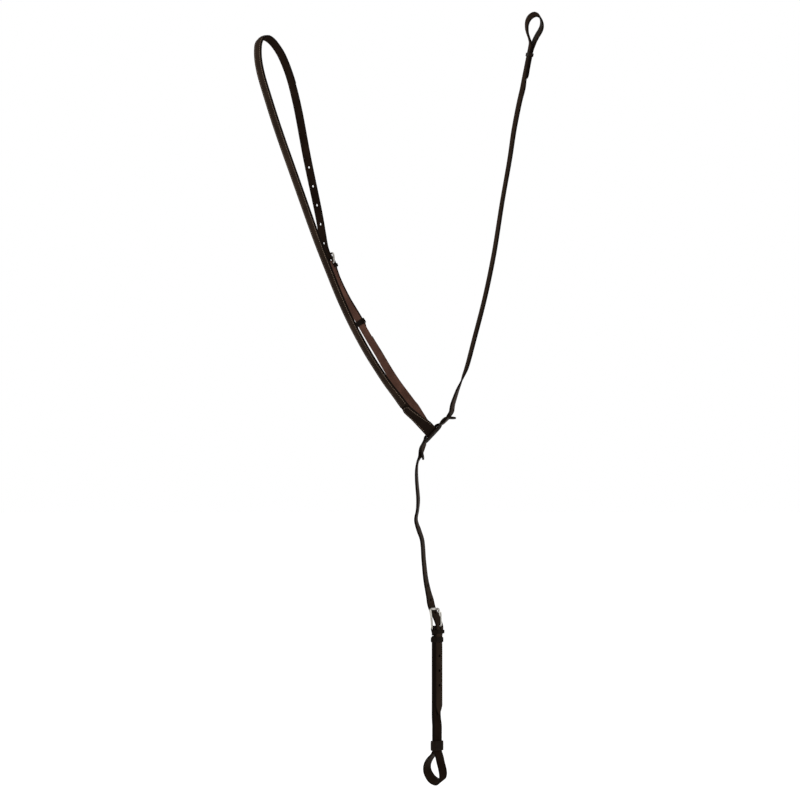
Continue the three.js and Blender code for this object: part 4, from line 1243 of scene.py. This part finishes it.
def keeper_mesh(name, place, half, low, high, thick, height, finish, opened=False):
    """A band of leather round straps: a rounded path with its width along the strap."""
    t, bend = thick / 2, 1.6
    left, right, bottom, top = -half - t, half + t, low - t, high + t
    path = []

    def arc(cx, cy, start):
        for a in np.radians(np.linspace(start, start + 90, 7)):
            path.append((cx + bend * math.cos(a), cy + bend * math.sin(a), a))

    def straight(x0, y0, x1, y1, facing, count=5):
        a = math.radians(facing)
        for share in np.linspace(0, 1, count + 2)[1:-1]:
            path.append((x0 + (x1 - x0) * share, y0 + (y1 - y0) * share, a))

    if opened:
        path.append((right, low, 0))
        straight(right, low, right, top - bend, 0, 2)
    else:
        straight(left + bend, bottom, right - bend, bottom, 270)
        arc(right - bend, bottom + bend, 270)
        straight(right, bottom + bend, right, top - bend, 0, 2)
    arc(right - bend, top - bend, 0)
    straight(right - bend, top, left + bend, top, 90)
    arc(left + bend, top - bend, 90)
    straight(left, top - bend, left, low if opened else bottom + bend, 180, 2)
    if opened:
        path.append((left, low, math.pi))
    else:
        arc(left + bend, bottom + bend, 180)
    w, n, on = place.across[0], place.out[0], place.along[0]
    at = np.array([place.at[0] + w * x + n * y for x, y, _ in path])
    outward = np.array([w * math.cos(a) + n * math.sin(a) for _, _, a in path])
    across = np.repeat(on[None], len(path), axis=0)
    travel = np.cross(across, outward)
    frames = Frames(at, across, outward)
    if np.dot(travel[1], at[2] - at[1]) < 0:
        frames = Frames(at, -across, outward)
    points, zones = leather_section(height / 2, thick, crease=1.3, crown=0.15)
    maker = MeshMaker()
    maker.strip(frames, [points] * len(frames), zones, closed=not opened)
    return maker.build(name, finish)


class MARTINGALE_OT_keepers(Operator):
    """Build the fixed keepers, the loose ones and the bands at both loops"""

    bl_idname = "martingale.keepers"
    bl_label = "Keepers"

    def execute(self, context):
        finish = looks(context, grain="keeper")
        room, beside = 0.35, 0.4
        neck_half = half_width(context, "neck_width") + beside
        main_half = half_width(context, "main_width") + beside
        neck_low, main_low = -NECK_THICK / 2, -MAIN_THICK / 2
        over = GIRTH_FOLD - LAYER / 2 + MAIN_THICK + GAP + 0.1
        all_round = LAYER + MAIN_THICK / 2 + room
        at_throat = LAYER / 2 + MAIN_THICK / 2 + 0.7
        throat = Frames(throat_point(-1201.3)[None], THROAT_ACROSS[None], THROAT_OUT[None])
        # Name, body and node; place; half width, lowest and highest; thickness and height
        bands = (
            (
                ("neck_fixed_keeper_leather", "neck", "neck_fixed_keeper"),
                neck_ring.frames(neck_heel + 5.5),
                (neck_half, neck_low, NECK_OVER - neck_low + 0.2),
                (1.3, 6, True),
            ),
            (
                ("neck_runner_leather", "neck_runner", "neck_runner_keeper"),
                neck_ring.frames(neck_ring.where_height(-481, neck_heel)),
                (neck_half + 0.1, neck_low - 0.55, NECK_LYING - neck_low + 0.55),
                (1.2, 9),
            ),
            (
                ("nose_keeper_leather", "lower_strap", "nose_keeper"),
                main_strap.frames(main_strap.where_height(-26, 170)),
                (main_half, main_low - room, MAIN_THICK / 2 + LAYER + room),
                (1.0, 6),
            ),
            (
                ("girth_fixed_keeper_leather", "lower_strap", "girth_fixed_keeper"),
                stack_frames([GIRTH_HEEL_Z - 5.3]),
                (main_half, main_low, over - main_low + 0.2),
                (1.3, 6.2, True),
            ),
            (
                ("girth_runner_leather", "girth_runner", "girth_runner_keeper"),
                stack_frames([-1021]),
                (main_half, -all_round, all_round),
                (1.1, 8.5),
            ),
            (
                ("girth_throat_leather", "lower_strap", "girth_loop_keeper"),
                throat,
                (main_half + 0.6, -at_throat, at_throat),
                (1.3, 16.5),
            ),
        )
        for (name, body, node), place, span, make in bands:
            thick, height, *opened = make
            band = keeper_mesh(name, place, *span, thick, height, finish, *opened)
            belongs(band, body, "dark_leather", node)
        return {"FINISHED"}


class MARTINGALE_OT_chest_loop(Operator):
    """Build the chest loop with its sewn leaves"""

    bl_idname = "martingale.chest_loop"
    bl_label = "Chest loop"

    def execute(self, context):
        raise_by = (NECK_THICK + CHEST_THICK) / 2 + GAP
        ends = [LEAF - d for d in NEAR_END]
        near = neck_ring.frames(every(3, LEAF, 3, ends)).raised(raise_by).reversed()
        end = neck_ring.length
        far_s = every(end - LEAF, end - 3, 3, [end - e for e in ends])
        far = neck_ring.frames(far_s).raised(raise_by).reversed()
        wall, floor, corner = 11.8, -4.7, 3.2
        at, out = [], []
        for side in (-1, 1):
            arc = np.radians(np.linspace(0, 90, 9))
            for a in arc if side < 0 else arc[::-1]:
                beside = wall - corner * (1 - math.cos(a))
                away = floor - corner * (1 - math.sin(a))
                at.append(chest_point(0, away, side * beside))
                out.append(CHEST_AWAY * math.sin(a) + CHEST_SIDE * (side * math.cos(a)))
        bend = Frames(np.array(at), np.repeat(-CHEST_ALONG[None], len(at), axis=0), unit(out))
        path = near.joined(bend, far)
        middle = path.run[-1] / 2
        off = np.abs(path.run - middle)
        wide, leaf = (half_width(context, key) for key in ("chest_width", "neck_width"))
        wide_to, narrow_from = 16, 56
        half = leaf + (wide - leaf) * (1 - smooth_step(off, wide_to, narrow_from))
        halves = np.array([float(round_tip(h, middle - o)) for h, o in zip(half, off)])
        finish = looks(context, grain="patch")
        loop = strap_mesh("chest_loop_leather", path, halves, CHEST_THICK, finish, crease=1.7)
        belongs(loop, "neck", "patch_leather", "chest_loop")
        inset, sewn = CHEST_INSET, middle - 22
        tip = leaf - inset
        rows = []
        for leg in (path, path.reversed()):
            down = np.arange(sewn, inset + tip, -2.5)
            widths = np.interp(down, leg.run, half if leg is path else half[::-1]) - inset
            bow = np.radians(np.arange(0, 181, 12))
            places = [(d, w) for d, w in zip(down, widths)]
            places += [(inset + tip * (1 - math.sin(a)), tip * math.cos(a)) for a in bow]
            places += [(d, -w) for d, w in zip(down[::-1], widths[::-1])]
            rows.append((leg.spots(places), 0, CHEST_THICK / 2 - 0.12))
        name = "chest_loop_stitching"
        sew(context, name, rows, "neck", "patch_leather", "pale_thread", LONG_STITCH)
        return {"FINISHED"}


class MARTINGALE_OT_long_strap(Operator):
    """Build the long strap from the nose loop to the tip of the girth billet"""

    bl_idname = "martingale.long_strap"
    bl_label = "Long strap"

    def execute(self, context):
        half = half_width(context, "main_width")
        length = main_strap.length
        ends = (*NEAR_END, 8.5)
        loop = np.arange(56, 176, 2.0)
        chest_from = main_strap.where_height(-570, 250)
        bends = np.arange(chest_from, chest_from + 200, 2.2)
        s = every(0, length, 4.2, [*ends, *loop, *bends, *(length - d for d in (*ends, 11, 14))])
        frames = main_strap.frames(s)
        halves = np.minimum(round_tip(half, s), point_tip(half, length - s))
        finish = looks(context, flesh="long_flesh")
        strap = strap_mesh("long_strap_leather", frames, halves, MAIN_THICK, finish, crease=1.9)
        used = main_strap.where_height(GIRTH_HEEL_Z + HOLE_FROM_HEEL, length * 0.6)
        spots = {i: main_strap.frames(used + i * GIRTH_HOLE_STEP) for i in range(-3, 5)}
        places = [(at, i == 0) for i, at in spots.items()]
        hole = context.scene.martingale_sizes.girth_hole / MM
        punched(strap, places, hole, MAIN_THICK + 0.8, finish["edge"])
        belongs(strap, "lower_strap", "dark_leather", "martingale_strap")
        lap = main_strap.frames(every(5, 42, 3))
        rows = both_rims(lap, half - MAIN_INSET, MAIN_THICK / 2 - 0.15)
        sew(context, "nose_lap_stitching", rows, "lower_strap", "dark_leather")
        return {"FINISHED"}


class MARTINGALE_OT_stop(Operator):
    """Build the slotted rubber stop that is woven through the chest loop and the strap"""

    bl_idname = "martingale.stop"
    bl_label = "Stop"

    def execute(self, context):
        half = half_width(context, "stop_width")
        line = StrapLine([chest_point(*p) for p in STOP], [CHEST_SIDE] * len(STOP))
        length = line.length
        ends = (0.3, 0.8, 1.6, 2.8, 4.4, 6.4, 8.6)
        s = every(0, length, 1.6, [*ends, *(length - d for d in ends)])
        corner = 9
        halves = np.minimum(round_tip(half, s, corner), round_tip(half, length - s, corner))
        finish = looks(context, "rubber", "rubber", "rubber")
        sheet = {"finishes": finish, "section": sheet_section}
        strip = strap_mesh("stop_rubber_strip", line.frames(s), halves, STOP_THICK, **sheet)
        start, end = (main_strap.where_height(z, 200) for z in (-600, -730))
        threaded = main_strap.frames(every(start, end, 2.2))
        clearance = 0.4
        wide = half_width(context, "main_width") + clearance
        high = MAIN_THICK + 2 * clearance
        slot = strap_mesh("slot", threaded, [wide] * len(threaded), high, **sheet)
        cut_away(strip, [slot])
        belongs(strip, "lower_strap", "stop_rubber", "martingale_stop")
        return {"FINISHED"}


class MARTINGALE_OT_girth_strap(Operator):
    """Build the doubled girth strap with the girth loop and the fold of its buckle"""

    bl_idname = "martingale.girth_strap"
    bl_label = "Girth strap"

    def execute(self, context):
        half = half_width(context, "main_width")
        top = GIRTH_HEEL_Z - 12.5
        straight = [top, -1050, -1090, -1130, -1152]
        throat = [-1168, -1180, -1192, -1201, -1209.5]
        rows = [(stack_point(z, -LAYER), STACK_ACROSS) for z in straight]
        rows += [(throat_point(z, -LAYER / 2), THROAT_ACROSS) for z in throat]
        rows += [(r[:3], turned(-39.7, r[3])) for r in GIRTH_LOOP]
        rows += [(throat_point(z, LAYER / 2), THROAT_ACROSS) for z in reversed(throat)]
        rows += [(stack_point(z, 0), STACK_ACROSS) for z in reversed(straight)]
        rows += [(stack_point(GIRTH_HEEL_Z - 8, 0.15), STACK_ACROSS)]
        heel = girth_heel_frame()
        rows += [(p, STACK_ACROSS) for p in fold_points(heel, GIRTH_FOLD)]
        rows += [(stack_point(GIRTH_HEEL_Z - 7.5, -LAYER - 0.15), STACK_ACROSS)]
        rows += [(stack_point(GIRTH_HEEL_Z - 11.5, -LAYER), STACK_ACROSS)]
        line = StrapLine(*zip(*rows))
        curved = np.arange(150, 360, 1.8)
        folded = np.arange(line.length - 36, line.length, 0.8)
        s = every(0, line.length, 3.6, [*curved, *folded])
        finish = looks(context)
        frames = line.frames(s)
        halves = [half] * len(s)
        strap = strap_mesh("girth_strap_leather", frames, halves, MAIN_THICK, finish, crease=1.9)
        slotted(strap, heel, (6, 26, 16), finish["edge"])
        belongs(strap, "lower_strap", "dark_leather", "girth_strap")
        rows = []
        for out_by, flip in ((-LAYER, True), (0.0, False)):
            row = stack_frames(np.arange(-1030, -1152, -3.0), out_by)
            row = row.turned_over() if flip else row
            rows += both_rims(row, half - MAIN_INSET, MAIN_THICK / 2 - 0.15)
        sew(context, "girth_strap_stitching", rows, "lower_strap", "dark_leather")
        return {"FINISHED"}


class MARTINGALE_OT_stage(Operator):
    """Set the floor, the light and the camera"""

    bl_idname = "martingale.stage"
    bl_label = "Stage"

    def execute(self, context):
        stage = context.scene.martingale_stage
        scene = context.scene
        camera = bpy.data.cameras.new("camera")
        camera.lens, camera.sensor_width = 200, 36
        camera.clip_end = 200
        holder = bpy.data.objects.new("camera", camera)
        scene.collection.objects.link(holder)
        middle_x, middle_z = 0.22695, -0.6137
        holder.location = (middle_x, -stage.distance, middle_z)
        holder.rotation_euler = (math.pi / 2, 0, 0)
        scene.camera = holder
        self.floor(context, stage.floor)
        self.lamps(context, stage.lamp)
        self.sky(context, stage.sky)
        scene.view_settings.view_transform = "Standard"
        return {"FINISHED"}

    def floor(self, context, height):
        """A wide pale floor that can be seen from above only."""
        shape = bmesh.new()
        bmesh.ops.create_grid(shape, x_segments=8, y_segments=8, size=24)
        mesh = bpy.data.meshes.new("floor")
        shape.to_mesh(mesh)
        shape.free()
        plane = bpy.data.objects.new("floor", mesh)
        plane.location = (0.2, 0, height)
        context.scene.collection.objects.link(plane)
        board = Board("pale floor")
        board.finish(
            Base_Color=(0.82, 0.82, 0.82),
            Roughness=0.9,
            Specular_IOR_Level=SATIN,
            Emission_Color=(1, 1, 1),
            Emission_Strength=0.7,
        )
        seen_from_below = board.add("ShaderNodeNewGeometry", out="Backfacing")
        board.show("Material Output", seen_from_below, board.add("ShaderNodeBsdfTransparent"))
        mesh.materials.append(board.owner)

    def lamps(self, context, power):
        """One large soft lamp up to the left, and a weaker one to the right."""
        for name, place, share, size in (
            ("soft lamp", (-0.6, -1.1, 0.6), 1.0, 0.8),
            ("fill lamp", (2.4, -2.0, 0.2), 0.8, 1.6),
        ):
            lamp = bpy.data.lights.new(name, "AREA")
            lamp.energy, lamp.size = power * share, size
            holder = bpy.data.objects.new(name, lamp)
            holder.location = place
            holder.visible_camera = False
            aim = Vector((0.2, 0, -0.6)) - Vector(place)
            holder.rotation_euler = aim.to_track_quat("-Z", "Y").to_euler()
            context.scene.collection.objects.link(holder)

    def sky(self, context, strength):
        """Even light from all round; the camera and mirrors see white."""
        board = Board("sky", "worlds", "Background")
        world = board.finish(Color=(1, 1, 1), Strength=strength)
        camera, glossy, clear = (
            board.add("ShaderNodeLightPath", out=f"Is {kind} Ray")
            for kind in ("Camera", "Glossy", "Transmission")
        )
        white = board.add("ShaderNodeBackground", sockets={"Color": (1, 1, 1), "Strength": 1})
        board.show("World Output", (camera + (glossy + clear)).held(), white)
        context.scene.world = world


PIECES = (
    MARTINGALE_OT_neck_strap,
    MARTINGALE_OT_facings,
    MARTINGALE_OT_neck_buckle_strap,
    MARTINGALE_OT_buckles,
    MARTINGALE_OT_keepers,
    MARTINGALE_OT_chest_loop,
    MARTINGALE_OT_long_strap,
    MARTINGALE_OT_stop,
    MARTINGALE_OT_girth_strap,
)


class MARTINGALE_PT_panel(Panel):
    """Sizes, colours and builders of the martingale"""

    bl_idname = "MARTINGALE_PT_panel"
    bl_label = "Standing martingale"
    bl_space_type = "VIEW_3D"
    bl_region_type = "UI"
    bl_category = "Martingale"

    def draw(self, context):
        scene = context.scene
        groups = (
            ("Sizes", scene.martingale_sizes),
            ("Colours", scene.martingale_colours),
            ("Stage", scene.martingale_stage),
        )
        for title, group in groups:
            box = self.layout.box()
            box.label(text=title)
            for key in group.__annotations__:
                box.prop(group, key)
        column = self.layout.column(align=True)
        for piece in (MARTINGALE_OT_stage, *PIECES):
            column.operator(piece.bl_idname)


CLASSES = (
    MartingaleSizes,
    MartingaleColours,
    MartingaleStage,
    MARTINGALE_OT_stage,
    *PIECES,
    MARTINGALE_PT_panel,
)


def register():
    """Adds the classes and their settings to Blender."""
    for each in CLASSES:
        bpy.utils.register_class(each)
    bpy.types.Scene.martingale_sizes = PointerProperty(type=MartingaleSizes)
    bpy.types.Scene.martingale_colours = PointerProperty(type=MartingaleColours)
    bpy.types.Scene.martingale_stage = PointerProperty(type=MartingaleStage)


def unregister():
    """Takes the classes and their settings out again."""
    for name in ("sizes", "colours", "stage"):
        delattr(bpy.types.Scene, f"martingale_{name}")
    for each in reversed(CLASSES):
        bpy.utils.unregister_class(each)


def main():
    """Builds the whole martingale."""
    register()
    bpy.ops.martingale.stage()
    bpy.ops.martingale.neck_strap()
    bpy.ops.martingale.facings()
    bpy.ops.martingale.neck_buckle_strap()
    bpy.ops.martingale.buckles()
    bpy.ops.martingale.keepers()
    bpy.ops.martingale.chest_loop()
    bpy.ops.martingale.long_strap()
    bpy.ops.martingale.stop()
    bpy.ops.martingale.girth_strap()


if __name__ == "__main__":
    main()
